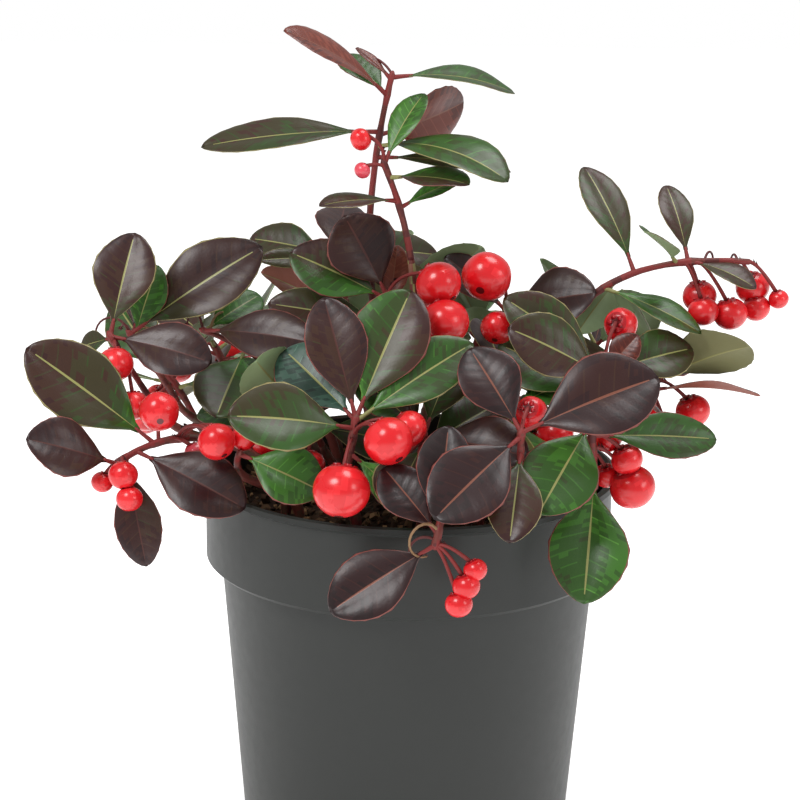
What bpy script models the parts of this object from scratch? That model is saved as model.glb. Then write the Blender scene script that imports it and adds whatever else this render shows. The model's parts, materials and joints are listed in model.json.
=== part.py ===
"""Potted wintergreen: a low evergreen shrub with red berries, growing in a round plastic nursery pot.

Metres, +Z up. The origin is the middle of the pot's flat underside, and the front faces -Y.
The sizes in the shoot tables are in millimetres and degrees. A heading of 0 points to +X and 90 to +Y,
and a rise of 90 points straight up.
"""

import math
import random
from collections import defaultdict, namedtuple

import bmesh
import bpy
from mathutils import Matrix, Vector
from mathutils.bvhtree import BVHTree

MM = 0.001

# The pot
POT_HEIGHT = 0.112
RIM_RADIUS = 0.060
BAND_HEIGHT = 0.0263
BAND_FOOT_RADIUS = 0.0584
BODY_TOP_RADIUS = 0.0541
FOOT_RADIUS = 0.0475
POT_WALL = 0.0016
RIM_ROLL = 0.0011
POT_SEGMENTS = 40
DRAIN_HOLES = 8
DRAIN_RING_RADIUS = 0.033
DRAIN_RADIUS = 0.0045

# The soil that fills it
SOIL_DROP = 0.008
SOIL_TOP = POT_HEIGHT - SOIL_DROP
GAP = 0.0003

# Stems and twigs
STEM_FOOT_RADIUS = 0.0017
STEM_TIP_RADIUS = 0.0012
STEM_SIDES = 6
STEM_STATIONS = 6
TWIG_TIP_SHARE = 0.75
TWIG_SIDES = 4
TWIG_STATIONS = 4

# Leaves: a share of each one's length is its stalk, and the blade is widest a little past its middle
STALK_SHARE = 0.13
STALK_RADIUS = 0.0007
ROOT_RADIUS = 0.00045
LEAF_STATIONS = (0.0, 0.14, 0.38, 0.74)
LEAF_THICKNESS = 0.018
LEAF_FOLD = 14.0
BLADE_LEAN = 1.15
BASE_POWER = 0.95
TIP_POWER = 0.62
WIDEST = 0.5 ** (1 / BLADE_LEAN)

# Berries, a little wider than they are tall
BERRY_SQUASH = 0.94
BERRY_STALK_RADIUS = 0.0005
BERRY_SEGMENTS = 7
BERRY_RINGS = 5
SMALL_BERRY = 0.0075

# Edges shorter than this are dissolved after fusing
SLIVER = 0.000002

# Each mass keeps within this distance of its twig
MASS_REACH = 0.056

# Changes of heading, rise and size that a leaf or berry tries, in turn, to lie clear of what is there already
YIELDS = (
    (0, 0, 1.0),
    (0, 7, 1.0),
    (7, 0, 1.0),
    (-7, 0, 1.0),
    (0, -7, 1.0),
    (0, 14, 0.95),
    (13, 4, 0.95),
    (-13, 4, 0.95),
    (0, -14, 0.9),
    (18, 10, 0.9),
    (-18, 10, 0.9),
    (0, 22, 0.85),
)

# Ways of the light, as heading and rise: most leaves at the front turn to it, the high ones only a little
TO_FRONT = (-90, 38)
TO_SKY = (-90, 72)
LIGHT_RISE = 48

Leaf = namedtuple("Leaf", "at heading rise length width bend roll tint facing")
Berry = namedtuple("Berry", "at heading rise reach size")
Shoot = namedtuple("Shoot", "name foot joint middle end leaves berries")


def direction(heading, rise):
    """The unit vector of a heading and a rise in degrees."""
    h, r = math.radians(heading), math.radians(rise)
    return Vector((math.cos(h) * math.cos(r), math.sin(h) * math.cos(r), math.sin(r)))


def leaf(at, heading, rise, length, width, tint, bend=15, roll=0):
    """One leaf: where it leaves its twig, the line from its root to its tip, its size and its colour."""
    return Leaf(at, heading, rise, length * MM, width * MM, bend, roll, tint, None)


def berry(at, heading, rise, reach, size):
    """One berry: where its stalk leaves the twig, the way to its middle, and its width."""
    return Berry(at, heading, rise, reach * MM, size * MM)


def shoot(name, foot, joint, middle, end, leaves, berries=(), facing=TO_FRONT):
    """A stem from the soil to its joint, and a twig on through the middle point to its end.

    facing is the heading and rise of the light, which the leaves turn their faces to.
    """
    places = [Vector(p) * MM for p in (joint, middle, end)]
    base = Vector((foot[0] * MM, foot[1] * MM, SOIL_TOP + GAP))
    light = direction(*facing)
    return Shoot(name, base, *places, tuple(one._replace(facing=light) for one in leaves), tuple(berries))


FRONT_SHOOTS = (
    shoot("over_rim", (3, -46), (8, -60, 117), (8, -65, 115), (7, -67, 110), (
        leaf(0.98, -165, -30, 32, 18, "plum"),
        leaf(0.75, 80, 60, 29, 15, "plum"),
        leaf(0.75, 145, 40, 23, 14, "plum"),
        leaf(0.60, 55, 40, 14, 7, "rust"),
    ), (
        berry(1.0, -20, -25, 12, 6.2),
        berry(1.0, -30, -45, 13, 7.2),
        berry(1.0, -40, -60, 16, 7.2),
    )),
    shoot("front_middle", (18, -42), (29, -51, 124), (29, -53, 131), (29, -54, 137), (
        leaf(0.98, 135, 45, 27, 17, "plum"),
        leaf(0.98, 12, 20, 39, 24, "plum", bend=18),
        leaf(0.90, -140, -30, 34, 21, "plum"),
        leaf(0.55, -100, -45, 27, 15, "bronze_green"),
    ), (
        berry(0.95, 70, 25, 9, 8.6),
        berry(0.35, 60, -55, 6, 7.2),
    )),
    shoot("front_left", (-14, -40), (-16, -46, 126), (-15, -46, 132), (-14, -45, 138), (
        leaf(0.98, 50, 55, 38, 22, "half_green"),
        leaf(0.75, -160, 10, 35, 20, "grey_green", bend=22),
        leaf(0.90, 20, 30, 38, 17, "deep_green", bend=20),
        leaf(0.92, 140, 30, 30, 20, "teal"),
        leaf(0.95, 125, 55, 34, 17, "bronze"),
        leaf(0.20, -15, -38, 24, 11, "green"),
    ), (
        berry(0.50, -100, -35, 17, 15),
        berry(0.55, -50, -5, 15, 13.6),
        berry(0.60, -10, 10, 15, 10),
    )),
    shoot("front_right", (32, -34), (50, -38, 119), (49, -40, 129), (48, -41, 137), (
        leaf(0.95, -125, -37, 32, 21, "green"),
        leaf(0.10, -100, -55, 36, 22, "cool_green"),
        leaf(0.70, 15, -5, 36, 14, "green"),
    ), (
        berry(0.70, 30, -5, 20, 9.8),
        berry(0.70, 10, -35, 12, 8.6),
        berry(0.50, 10, -45, 16, 12.4),
        berry(0.85, 50, -30, 9, 8),
        berry(0.40, 50, -55, 10, 7),
    )),
    shoot("left_low", (-34, -22), (-60, -28, 127), (-70, -32, 126), (-79, -38, 122), (
        leaf(0.45, -178, 38, 43, 22, "bronze_green"),
        leaf(0.70, -18, -8, 38, 21, "bronze"),
        leaf(0.98, -150, 22, 27, 17, "bronze"),
        leaf(0.98, 165, -68, 31, 13, "bronze"),
        leaf(0.85, -50, -65, 30, 13, "bronze"),
    ), (
        berry(0.40, -80, 55, 13, 10.8),
        berry(0.15, -50, 10, 19, 10.2),
        berry(0.10, -30, -5, 21, 7.6),
        berry(0.25, -20, -20, 8, 6),
        berry(0.90, -80, -20, 7, 8),
        berry(0.90, -70, -45, 12, 7.2),
        berry(0.95, -170, -50, 7, 6),
    )),
    shoot("left_middle", (-32, -12), (-69, -18, 131), (-76, -18, 142), (-83, -16, 153), (
        leaf(0.98, 65, 63, 30, 18, "bronze_edged"),
        leaf(0.97, -15, -10, 30, 17, "bronze", bend=22),
        leaf(0.55, -62, -30, 25, 18, "bright_green"),
        leaf(0.95, 150, -20, 12, 8, "olive"),
    ), (
        berry(0.90, -80, -28, 9, 9.8),
        berry(0.85, -95, -38, 14, 8.6),
        berry(0.68, -70, -48, 14, 8.6),
    )),
    shoot("low_left", (-30, -28), (-46, -37, 121), (-46, -39, 124), (-45, -42, 127), (
        leaf(0.90, -15, -20, 25, 17, "green"),
    )),
    shoot("right_middle", (28, -10), (54, -14, 130), (54, -14, 137), (54, -14, 144), (
        leaf(0.95, 172, 35, 35, 17, "olive", bend=20),
        leaf(0.85, -175, 28, 32, 19, "bronze_olive", bend=22),
        leaf(0.95, 22, 10, 28, 16, "olive", bend=20),
        leaf(0.45, 155, 20, 34, 20, "deep_green"),
        leaf(0.95, 5, 50, 14, 9, "rust"),
    ), (
        berry(0.98, 60, 50, 15, 9.6),
    )),
    shoot("middle_left", (-20, 2), (-37, 2, 138), (-48, 0, 146), (-59, 0, 151), (
        leaf(0.98, -25, 0, 36, 16, "bronze", bend=25),
        leaf(0.97, 45, 20, 22, 13, "bright_green"),
        leaf(0.45, -105, -30, 28, 20, "grey_green"),
    )),
    shoot("middle", (-3, -6), (-5, -4, 148), (-6, -4, 155), (-7, -4, 163), (
        leaf(0.98, 165, 60, 25, 21, "bronze"),
        leaf(0.90, 178, 25, 30, 18, "half_green", bend=20),
        leaf(0.40, 180, 10, 35, 14, "bronze_olive"),
        leaf(0.60, 80, 55, 22, 9, "rust"),
    ), (
        berry(0.90, -30, 20, 19, 12.8),
        berry(0.60, -50, 5, 24, 13.6),
    )),
    shoot("middle_right", (13, 8), (32, 12, 143), (30, 12, 150), (27, 12, 156), (
        leaf(0.95, -22, 15, 28, 19, "bronze"),
        leaf(0.80, -5, 10, 22, 10, "green"),
        leaf(0.90, 170, 40, 24, 12, "bronze"),
        leaf(0.30, -60, 5, 26, 15, "green"),
    ), (
        berry(0.90, -110, 35, 24, 14),
        berry(0.50, -105, 12, 23, 9.6),
    )),
    shoot("left_high", (-31, 4), (-66, 0, 129), (-74, 0, 142), (-80, 0, 150), (
        leaf(0.95, 10, 33, 45, 22, "bronze_edged", bend=18),
        leaf(0.90, 75, 50, 24, 15, "bronze"),
        leaf(0.85, 32, 62, 22, 12, "green"),
    )),
    shoot("second", (-1, -14), (0, -6, 172), (-3, -6, 186), (-8, -6, 200), (
        leaf(0.98, 45, 50, 24, 10, "green", bend=32),
        leaf(0.85, -30, 0, 25, 14, "half_green", bend=20),
        leaf(0.62, -152, 0, 24, 10, "bronze_olive", bend=18),
        leaf(0.55, 25, 20, 20, 8, "green"),
    ), (
        berry(1.0, -170, 45, 9, 6.2),
        berry(0.93, -160, 0, 7, 4.6),
    ), TO_SKY),
    shoot("top", (-6, 7), (-12, 6, 181), (-10, 5, 202), (-6, 4, 223), (
        leaf(0.86, -150, 30, 37, 15, "rust", bend=25, roll=-12),
        leaf(0.86, 140, 30, 20, 12, "green", bend=20),
        leaf(0.98, 18, -8, 37, 15, "deep_green", bend=32),
        leaf(0.52, -30, -23, 44, 21, "deep_green", bend=50),
        leaf(0.62, -175, -5, 50, 15, "olive", bend=16, roll=-12),
        leaf(0.60, 35, 15, 30, 20, "rust", roll=95),
        leaf(0.45, -5, -5, 38, 12, "olive"),
        leaf(0.97, 150, 35, 14, 4, "rust"),
    ), (), TO_SKY),
    shoot("right", (24, 2), (48, 4, 158), (67, 6, 169), (96, 8, 171), (
        leaf(0.42, 120, 45, 38, 13, "olive", bend=25),
        leaf(0.66, -130, 33, 21, 14, "green", bend=20),
        leaf(0.72, 105, 45, 27, 10, "bronze_olive", bend=32),
        leaf(0.74, -25, -18, 20, 11, "bronze_olive", bend=25),
        leaf(0.20, -15, -20, 31, 12, "deep_green", bend=20),
        leaf(0.36, -12, -25, 34, 18, "green", roll=100),
        leaf(0.30, 130, -50, 24, 16, "green", roll=60),
    ), (
        berry(0.72, 20, -68, 11, 9.8),
        berry(0.70, -40, -62, 15, 8.8),
        berry(0.76, -10, -55, 18, 9.8),
        berry(0.95, 40, -50, 11, 9.8),
        berry(0.90, 10, -55, 17, 8),
        berry(1.0, 0, -50, 14, 5.8),
    ), TO_SKY),
    shoot("back_middle", (-8, 15), (-19, 18, 156), (-21, 18, 164), (-23, 18, 171), (
        leaf(0.90, 155, 5, 28, 14, "olive"),
        leaf(0.80, -145, 5, 26, 7, "olive"),
        leaf(0.95, 25, -5, 34, 14, "olive", bend=20),
        leaf(0.90, 85, 20, 30, 16, "bronze"),
    )),
)

# Shoots that the rule grows: name, heading from the middle, foot radius, end radius, end height, leaves, seed
GROWN_SHOOTS = (
    ("right_back", 38, 30, 72, 138, 8, 11),
    ("right_side", 8, 36, 74, 137, 7, 12),
    ("back_right", 64, 28, 50, 143, 8, 13),
    ("back_left", 112, 28, 52, 145, 8, 14),
    ("left_back", 146, 32, 74, 139, 8, 15),
    ("left_side", 172, 36, 72, 136, 6, 16),
    ("back_rim_right", 84, 36, 82, 138, 7, 17),
    ("back_rim_left", 126, 36, 84, 137, 7, 18),
    ("inner_left", -155, 20, 36, 134, 7, 19),
    ("inner_right", -28, 18, 34, 136, 7, 20),
    ("inner_front", -84, 22, 38, 132, 6, 21),
    ("inner_back", 95, 14, 26, 146, 7, 22),
)
GOLDEN_ANGLE = 137.5
GROWN_TINTS = ("bronze", "bronze_edged", "bronze_green", "green", "deep_green", "half_green", "plum", "olive")


def grown_shoot(name, heading, foot_radius, end_radius, height, count, seed):
    """A shoot whose leaves turn round the twig by the golden angle, the lower ones drooping more."""
    rng = random.Random(seed)
    out = direction(heading, 0)
    foot = out * foot_radius
    end = out * end_radius + Vector((0, 0, height))
    joint = end - (out * 0.55 + Vector((0, 0, 0.84))) * 17
    middle = (joint + end) / 2 + Vector((0, 0, 1.5))
    start = rng.uniform(0, 360)
    leaves = []
    for i in range(count):
        turn = start + GOLDEN_ANGLE * i + rng.uniform(-14, 14)
        away = math.cos(math.radians(turn - heading))
        rise = 42 - 9 * i - 12 * away + rng.uniform(-7, 7)
        length = rng.uniform(27, 37)
        width = length * rng.uniform(0.52, 0.62)
        tint = rng.choice(GROWN_TINTS)
        leaves.append(leaf(0.98 - 0.1 * i, turn, rise, length, width, tint, bend=rng.uniform(12, 26)))
    berries = []
    for i in range(3):
        turn = heading + rng.uniform(-80, 80)
        fall = rng.uniform(-60, -25)
        berries.append(berry(0.8 - 0.2 * i, turn, fall, rng.uniform(12, 16), rng.uniform(8, 11.5)))
    return shoot(name, foot[:2], joint, middle, end, leaves, berries, (heading, LIGHT_RISE))


def all_shoots():
    """The shoots in the order in which they take up their room."""
    return FRONT_SHOOTS + tuple(grown_shoot(*row) for row in GROWN_SHOOTS)


def on_twig(plant, t):
    """The point at a share t of the twig, on a curve through its joint, middle and end."""
    bend = 2 * plant.middle - 0.5 * (plant.joint + plant.end)
    return (1 - t) ** 2 * plant.joint + 2 * t * (1 - t) * bend + t * t * plant.end


def twig_start(plant):
    """The direction in which the twig leaves its joint."""
    return (2 * plant.middle - 0.5 * (plant.joint + plant.end) - plant.joint).normalized()


def stem_path(plant):
    """Points up the stem: straight out of the soil, then round to the direction of the twig."""
    span = (plant.joint - plant.foot).length
    up = plant.foot + Vector((0, 0, 0.45 * span))
    back = plant.joint - twig_start(plant) * 0.3 * span
    points = []
    for i in range(STEM_STATIONS):
        t = i / (STEM_STATIONS - 1)
        points.append(
            (1 - t) ** 3 * plant.foot + 3 * t * (1 - t) ** 2 * up
            + 3 * t * t * (1 - t) * back + t**3 * plant.joint
        )
    return points


def twig_path(plant):
    """Points along the twig, which starts clear of the stem's tip."""
    points = [on_twig(plant, i / (TWIG_STATIONS - 1)) for i in range(TWIG_STATIONS)]
    points[0] = plant.joint + twig_start(plant) * GAP
    return points


def tube(path, radii, sides, first=None, last=None):
    """A closed tube along a path: its points and faces. first and last set the directions of its ends."""
    points, faces = [], []
    side = None
    for i, centre in enumerate(path):
        along = path[min(i + 1, len(path) - 1)] - path[max(i - 1, 0)]
        if i == 0 and first:
            along = first
        if i == len(path) - 1 and last:
            along = last
        along = along.normalized()
        if side is None:
            side = along.orthogonal().normalized()
        side = (side - along * side.dot(along)).normalized()
        other = along.cross(side)
        for k in range(sides):
            a = 2 * math.pi * k / sides
            points.append(centre + radii[i] * (math.cos(a) * side + math.sin(a) * other))
    for i in range(len(path) - 1):
        low, high = i * sides, (i + 1) * sides
        for k in range(sides):
            n = (k + 1) % sides
            faces.append((low + k, low + n, high + n, high + k))
    faces.append(tuple(reversed(range(sides))))
    faces.append(tuple(range((len(path) - 1) * sides, len(path) * sides)))
    return points, faces


def stem_solid(plant):
    """The tapering stem, from a flat cut just clear of the soil."""
    path = stem_path(plant)
    steps = len(path) - 1
    radii = [STEM_FOOT_RADIUS + (STEM_TIP_RADIUS - STEM_FOOT_RADIUS) * (i / steps) ** 0.5 for i in range(steps + 1)]
    return tube(path, radii, STEM_SIDES, Vector((0, 0, 1)), twig_start(plant))


def twig_solid(plant):
    path = twig_path(plant)
    steps = len(path) - 1
    radii = [STEM_TIP_RADIUS * (1 + (TWIG_TIP_SHARE - 1) * i / steps) for i in range(steps + 1)]
    return tube(path, radii, TWIG_SIDES, twig_start(plant))


def leaf_axes(one):
    """The leaf's chord, side and face. Unrolled, its face looks as far to the light as it can."""
    along = direction(one.heading, one.rise)
    side = along.cross(one.facing).normalized()
    face = side.cross(along)
    turn = Matrix.Rotation(math.radians(one.roll), 3, along)
    return along, turn @ side, turn @ face


def leaf_line(one, axes, root, s):
    """The leaf's middle and its face's direction at a share s of its length. It is an arc over its chord."""
    along, _, face = axes
    bend = math.radians(one.bend)
    radius = one.length / (2 * math.sin(bend / 2))
    angle = bend * (0.5 - s)
    ahead = radius * (math.sin(bend / 2) - math.sin(angle))
    above = radius * (math.cos(angle) - math.cos(bend / 2))
    return root + ahead * along + above * face, math.cos(angle) * face - math.sin(angle) * along


def half_width(one, s):
    """Half the leaf's width at a share s of its length."""
    t = (s - STALK_SHARE) / (1 - STALK_SHARE)
    if t <= 0 or t >= 1:
        return STALK_RADIUS
    power = BASE_POWER if t < WIDEST else TIP_POWER
    return max(STALK_RADIUS, one.width / 2 * math.sin(math.pi * t**BLADE_LEAN) ** power)


def leaf_solid(one, root, first=0, grow=0.0):
    """A folded blade, thick along its midrib and sharp at its edges. first leaves out stations at its root."""
    axes = leaf_axes(one)
    side = axes[1]
    fold = math.radians(LEAF_FOLD)
    points, faces = [], []
    for s in LEAF_STATIONS[first:]:
        centre, up = leaf_line(one, axes, root, s)
        if s == 0:
            half = thick = ROOT_RADIUS
            rise = 0.0
        else:
            half = half_width(one, s) + grow
            thick = one.length * LEAF_THICKNESS / 2 + grow
            rise = half * math.sin(fold)
        out = side * half * math.cos(fold)
        points += [centre - out + up * rise, centre + up * thick, centre + out + up * rise, centre - up * thick]
    rings = len(points) // 4
    for i in range(rings - 1):
        for k in range(4):
            n = (k + 1) % 4
            faces.append((4 * i + k, 4 * i + n, 4 * i + 4 + n, 4 * i + 4 + k))
    tip = len(points)
    points.append(leaf_line(one, axes, root, 1)[0] + axes[0] * grow)
    faces += [(tip - 4 + k, tip - 4 + (k + 1) % 4, tip) for k in range(4)]
    faces.append((3, 2, 1, 0))
    return points, faces


def berry_middle(one, root):
    return root + direction(one.heading, one.rise) * one.reach


def berry_axis(one, root):
    """The way from the berry's middle to its stalk: between the root of the stalk and straight up."""
    return ((root - berry_middle(one, root)).normalized() + Vector((0, 0, 1))).normalized()


def berry_solid(one, root, grow=0.0):
    """A ball a little flattened along its stalk."""
    middle, axis = berry_middle(one, root), berry_axis(one, root)
    side = axis.orthogonal().normalized()
    other = axis.cross(side)
    small = one.size < SMALL_BERRY
    segments = BERRY_SEGMENTS - small
    rings = BERRY_RINGS - small
    radius = one.size / 2 + grow
    points, faces = [middle + axis * radius * BERRY_SQUASH], []
    for i in range(1, rings):
        polar = math.pi * i / rings
        for k in range(segments):
            a = 2 * math.pi * k / segments
            flat = math.cos(a) * side + math.sin(a) * other
            points.append(middle + radius * (math.sin(polar) * flat + BERRY_SQUASH * math.cos(polar) * axis))
    points.append(middle - axis * radius * BERRY_SQUASH)
    last = len(points) - 1
    for k in range(segments):
        n = (k + 1) % segments
        faces.append((0, 1 + k, 1 + n))
        for i in range(rings - 2):
            low = 1 + i * segments
            faces.append((low + k, low + segments + k, low + segments + n, low + n))
        faces.append((last, last - segments + n, last - segments + k))
    return points, faces


def berry_stalk(one, root, grow=0.0):
    """A thin stalk that rises from the twig and comes down into the berry."""
    axis = berry_axis(one, root)
    top = berry_middle(one, root) + axis * one.size / 2 * BERRY_SQUASH
    knee = (root + top) / 2 + axis * 0.12 * one.reach
    return tube([root, knee, top - axis * 0.12 * one.size], [BERRY_STALK_RADIUS + grow] * 3, 3)


def tree_of(solid):
    points, faces = solid
    return BVHTree.FromPolygons(points, faces)


def touches(solid, trees):
    mine = tree_of(solid)
    return any(mine.overlap(other) for other in trees)


def in_space(plant, solid):
    """True if a solid stays in its mass's space: near its twig, above the soil and out of the pot's wall."""
    middle = on_twig(plant, 0.5)
    for point in solid[0]:
        radius = math.hypot(point.x, point.y)
        if (point - middle).length > MASS_REACH:
            return False
        if radius < BODY_TOP_RADIUS and point.z < SOIL_TOP + GAP:
            return False
        if BODY_TOP_RADIUS <= radius < RIM_RADIUS + GAP and point.z < POT_HEIGHT + GAP:
            return False
    return True


def grow(plants, limbs):
    """For each shoot, the leaves and berries that found room, with their roots."""
    twigs = [tree_of(twig_solid(plant)) for plant in plants]
    taken = []
    grown = []
    for number, plant in enumerate(plants):
        others = limbs + twigs[:number] + twigs[number + 1:] + taken
        mine, near = [], []
        kept_leaves, kept_berries = [], []
        for one in plant.berries:
            root = on_twig(plant, one.at)
            for turn, lift, share in YIELDS:
                tried = one._replace(heading=one.heading + turn, rise=one.rise + lift, size=one.size * share)
                ball = berry_solid(tried, root, GAP)
                stalk = berry_stalk(tried, root, GAP)
                if in_space(plant, ball) and not touches(ball, others) and not touches(stalk, others):
                    kept_berries.append((tried, root))
                    mine += [tree_of(ball), tree_of(stalk)]
                    near.append(tree_of(ball))
                    break
        for one in plant.leaves:
            root = on_twig(plant, one.at)
            for turn, lift, share in YIELDS:
                tried = one._replace(
                    heading=one.heading + turn, rise=one.rise + lift,
                    length=one.length * share, width=one.width * share,
                )
                whole = leaf_solid(tried, root, 0, GAP)
                blade = leaf_solid(tried, root, 1)
                if in_space(plant, whole) and not touches(whole, others) and not touches(blade, near):
                    kept_leaves.append((tried, root))
                    mine.append(tree_of(whole))
                    near.append(tree_of(blade))
                    break
        taken += mine
        grown.append((kept_leaves, kept_berries))
    return grown


def material(name, colour, roughness):
    made = bpy.data.materials.new(name)
    made.use_nodes = True
    shader = made.node_tree.nodes["Principled BSDF"]
    shader.inputs["Base Color"].default_value = (*colour, 1)
    shader.inputs["Roughness"].default_value = roughness
    shader.inputs["Metallic"].default_value = 0.0
    return made


def mesh_object(name, solid, materials, slot=0):
    """An object in the scene from points and faces, with all its faces in one material slot."""
    points, faces = solid
    mesh = bpy.data.meshes.new(name)
    mesh.from_pydata([tuple(p) for p in points], [], faces)
    mesh.validate()
    for made in materials:
        mesh.materials.append(made)
    mesh.polygons.foreach_set("material_index", [slot] * len(mesh.polygons))
    obj = bpy.data.objects.new(name, mesh)
    bpy.context.scene.collection.objects.link(obj)
    return obj


def volume_of(triangles):
    """The volume that a set of triangles encloses, less than nothing for a hollow."""
    corners = [[v.co for v in face.verts] for face in triangles]
    return sum(a.dot(b.cross(c)) for a, b, c in corners) / 6


def bodies_of(bm):
    """The separate surfaces of a triangulated mesh, as lists of faces. Surfaces that only share an edge are apart."""
    beside = defaultdict(list)
    for face in bm.faces:
        for edge in face.edges:
            beside[frozenset(edge.verts)].append(face)
    found = []
    seen = set()
    for start in bm.faces:
        if start in seen:
            continue
        seen.add(start)
        body = [start]
        for face in body:
            for edge in face.edges:
                near = beside[frozenset(edge.verts)]
                if len(near) != 2:
                    continue
                for other in near:
                    if other not in seen:
                        seen.add(other)
                        body.append(other)
        found.append(body)
    return found


def keep_largest_body(mesh):
    """Dissolves slivers, fills any hollow that fusing sealed and drops any loose scrap."""
    bm = bmesh.new()
    bm.from_mesh(mesh)
    bmesh.ops.dissolve_degenerate(bm, dist=SLIVER, edges=bm.edges)
    bmesh.ops.triangulate(bm, faces=bm.faces)
    bodies = sorted(bodies_of(bm), key=volume_of)
    loose = [face for body in bodies[:-1] for face in body]
    bmesh.ops.delete(bm, geom=loose, context="FACES")
    bm.to_mesh(mesh)
    bm.free()


def fused(name, solids, materials):
    """One object from overlapping solids, each given with its material slot."""
    base = mesh_object(name, solids[0][0], materials, solids[0][1])
    group = bpy.data.collections.new(name + "_pieces")
    bpy.context.scene.collection.children.link(group)
    for i, (solid, slot) in enumerate(solids[1:]):
        piece = mesh_object(f"{name}_{i}", solid, materials, slot)
        bpy.context.scene.collection.objects.unlink(piece)
        group.objects.link(piece)
    union = base.modifiers.new("Union", "BOOLEAN")
    union.operation = "UNION"
    union.operand_type = "COLLECTION"
    union.collection = group
    union.solver = "MANIFOLD"
    bpy.context.view_layer.update()
    evaluated = base.evaluated_get(bpy.context.evaluated_depsgraph_get())
    joined = bpy.data.meshes.new_from_object(evaluated)
    base.modifiers.remove(union)
    base.data = joined
    for piece in list(group.objects):
        bpy.data.objects.remove(piece)
    bpy.data.collections.remove(group)
    keep_largest_body(joined)
    return base


def turned(profile, segments):
    """A solid turned round the Z axis from (radius, height) points, which start and end on the axis."""
    points, faces = [], []
    inner = profile[1:-1]
    for radius, height in inner:
        for k in range(segments):
            a = 2 * math.pi * k / segments
            points.append(Vector((radius * math.cos(a), radius * math.sin(a), height)))
    for i in range(len(inner) - 1):
        for k in range(segments):
            n = (k + 1) % segments
            low, high = i * segments, (i + 1) * segments
            faces.append((low + k, low + n, high + n, high + k))
    faces.append(tuple(reversed(range(segments))))
    faces.append(tuple(range(len(points) - segments, len(points))))
    return points, faces


def wall_radius(height):
    """The body's outer radius at a height below the band."""
    return FOOT_RADIUS + (BODY_TOP_RADIUS - FOOT_RADIUS) * height / (POT_HEIGHT - BAND_HEIGHT)


def pot_profile():
    """The pot's section: up its outside, over the rolled rim and down its inside to its floor."""
    band = POT_HEIGHT - BAND_HEIGHT
    corner = 0.0012
    lip = RIM_RADIUS - RIM_ROLL
    inside_band = BAND_FOOT_RADIUS - POT_WALL
    return [
        (0, 0),
        (FOOT_RADIUS - corner, 0),
        (FOOT_RADIUS, corner),
        (BODY_TOP_RADIUS, band + 0.0004),
        (BAND_FOOT_RADIUS - corner, band),
        (BAND_FOOT_RADIUS, band + corner),
        (lip - 0.0006, POT_HEIGHT - 2 * RIM_ROLL - 0.0006),
        (RIM_RADIUS, POT_HEIGHT - 1.5 * RIM_ROLL),
        (RIM_RADIUS - 0.25 * RIM_ROLL, POT_HEIGHT - 0.3 * RIM_ROLL),
        (lip - 0.3 * RIM_ROLL, POT_HEIGHT),
        (lip - 1.4 * RIM_ROLL, POT_HEIGHT - 0.6 * RIM_ROLL),
        (inside_band, band + POT_WALL),
        (BODY_TOP_RADIUS - POT_WALL, band + 0.5 * POT_WALL),
        (wall_radius(POT_WALL) - POT_WALL, POT_WALL),
        (0, POT_WALL),
    ]


def make_pot():
    plastic = material("pot_plastic", (0.045, 0.047, 0.041), 0.5)
    pot = mesh_object("pot", turned(pot_profile(), POT_SEGMENTS), [plastic])
    pot.data.shade_smooth()
    pot.data.set_sharp_from_angle(angle=math.radians(35))
    holes = bpy.data.collections.new("drain_holes")
    bpy.context.scene.collection.children.link(holes)
    for i in range(DRAIN_HOLES):
        a = 2 * math.pi * (i + 0.5) / DRAIN_HOLES
        profile = [(0, -POT_WALL), (DRAIN_RADIUS, -POT_WALL), (DRAIN_RADIUS, 2 * POT_WALL), (0, 2 * POT_WALL)]
        cutter = mesh_object(f"drain_hole_{i}", turned(profile, 12), [plastic])
        cutter.location = (DRAIN_RING_RADIUS * math.cos(a), DRAIN_RING_RADIUS * math.sin(a), 0)
        cutter.hide_render = True
        cutter.display_type = "WIRE"
        bpy.context.scene.collection.objects.unlink(cutter)
        holes.objects.link(cutter)
    cut = pot.modifiers.new("Drain holes", "BOOLEAN")
    cut.operation = "DIFFERENCE"
    cut.operand_type = "COLLECTION"
    cut.collection = holes
    return pot


def make_soil():
    """The filling, clear of the pot all round, with a flat top."""
    band = POT_HEIGHT - BAND_HEIGHT
    inside_band = BAND_FOOT_RADIUS - POT_WALL - GAP
    floor = POT_WALL + GAP
    step = band + POT_WALL + GAP
    profile = [
        (0, floor),
        (wall_radius(floor) - POT_WALL - 2 * GAP, floor),
        (BODY_TOP_RADIUS - POT_WALL - 2 * GAP, band),
        (BODY_TOP_RADIUS - POT_WALL - 2 * GAP, step + GAP),
        (inside_band - GAP, step + 2 * GAP),
        (inside_band - GAP, SOIL_TOP),
        (0, SOIL_TOP),
    ]
    earth = material("soil_peat", (0.035, 0.024, 0.016), 0.95)
    return mesh_object("soil", turned(profile, POT_SEGMENTS), [earth])


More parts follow.
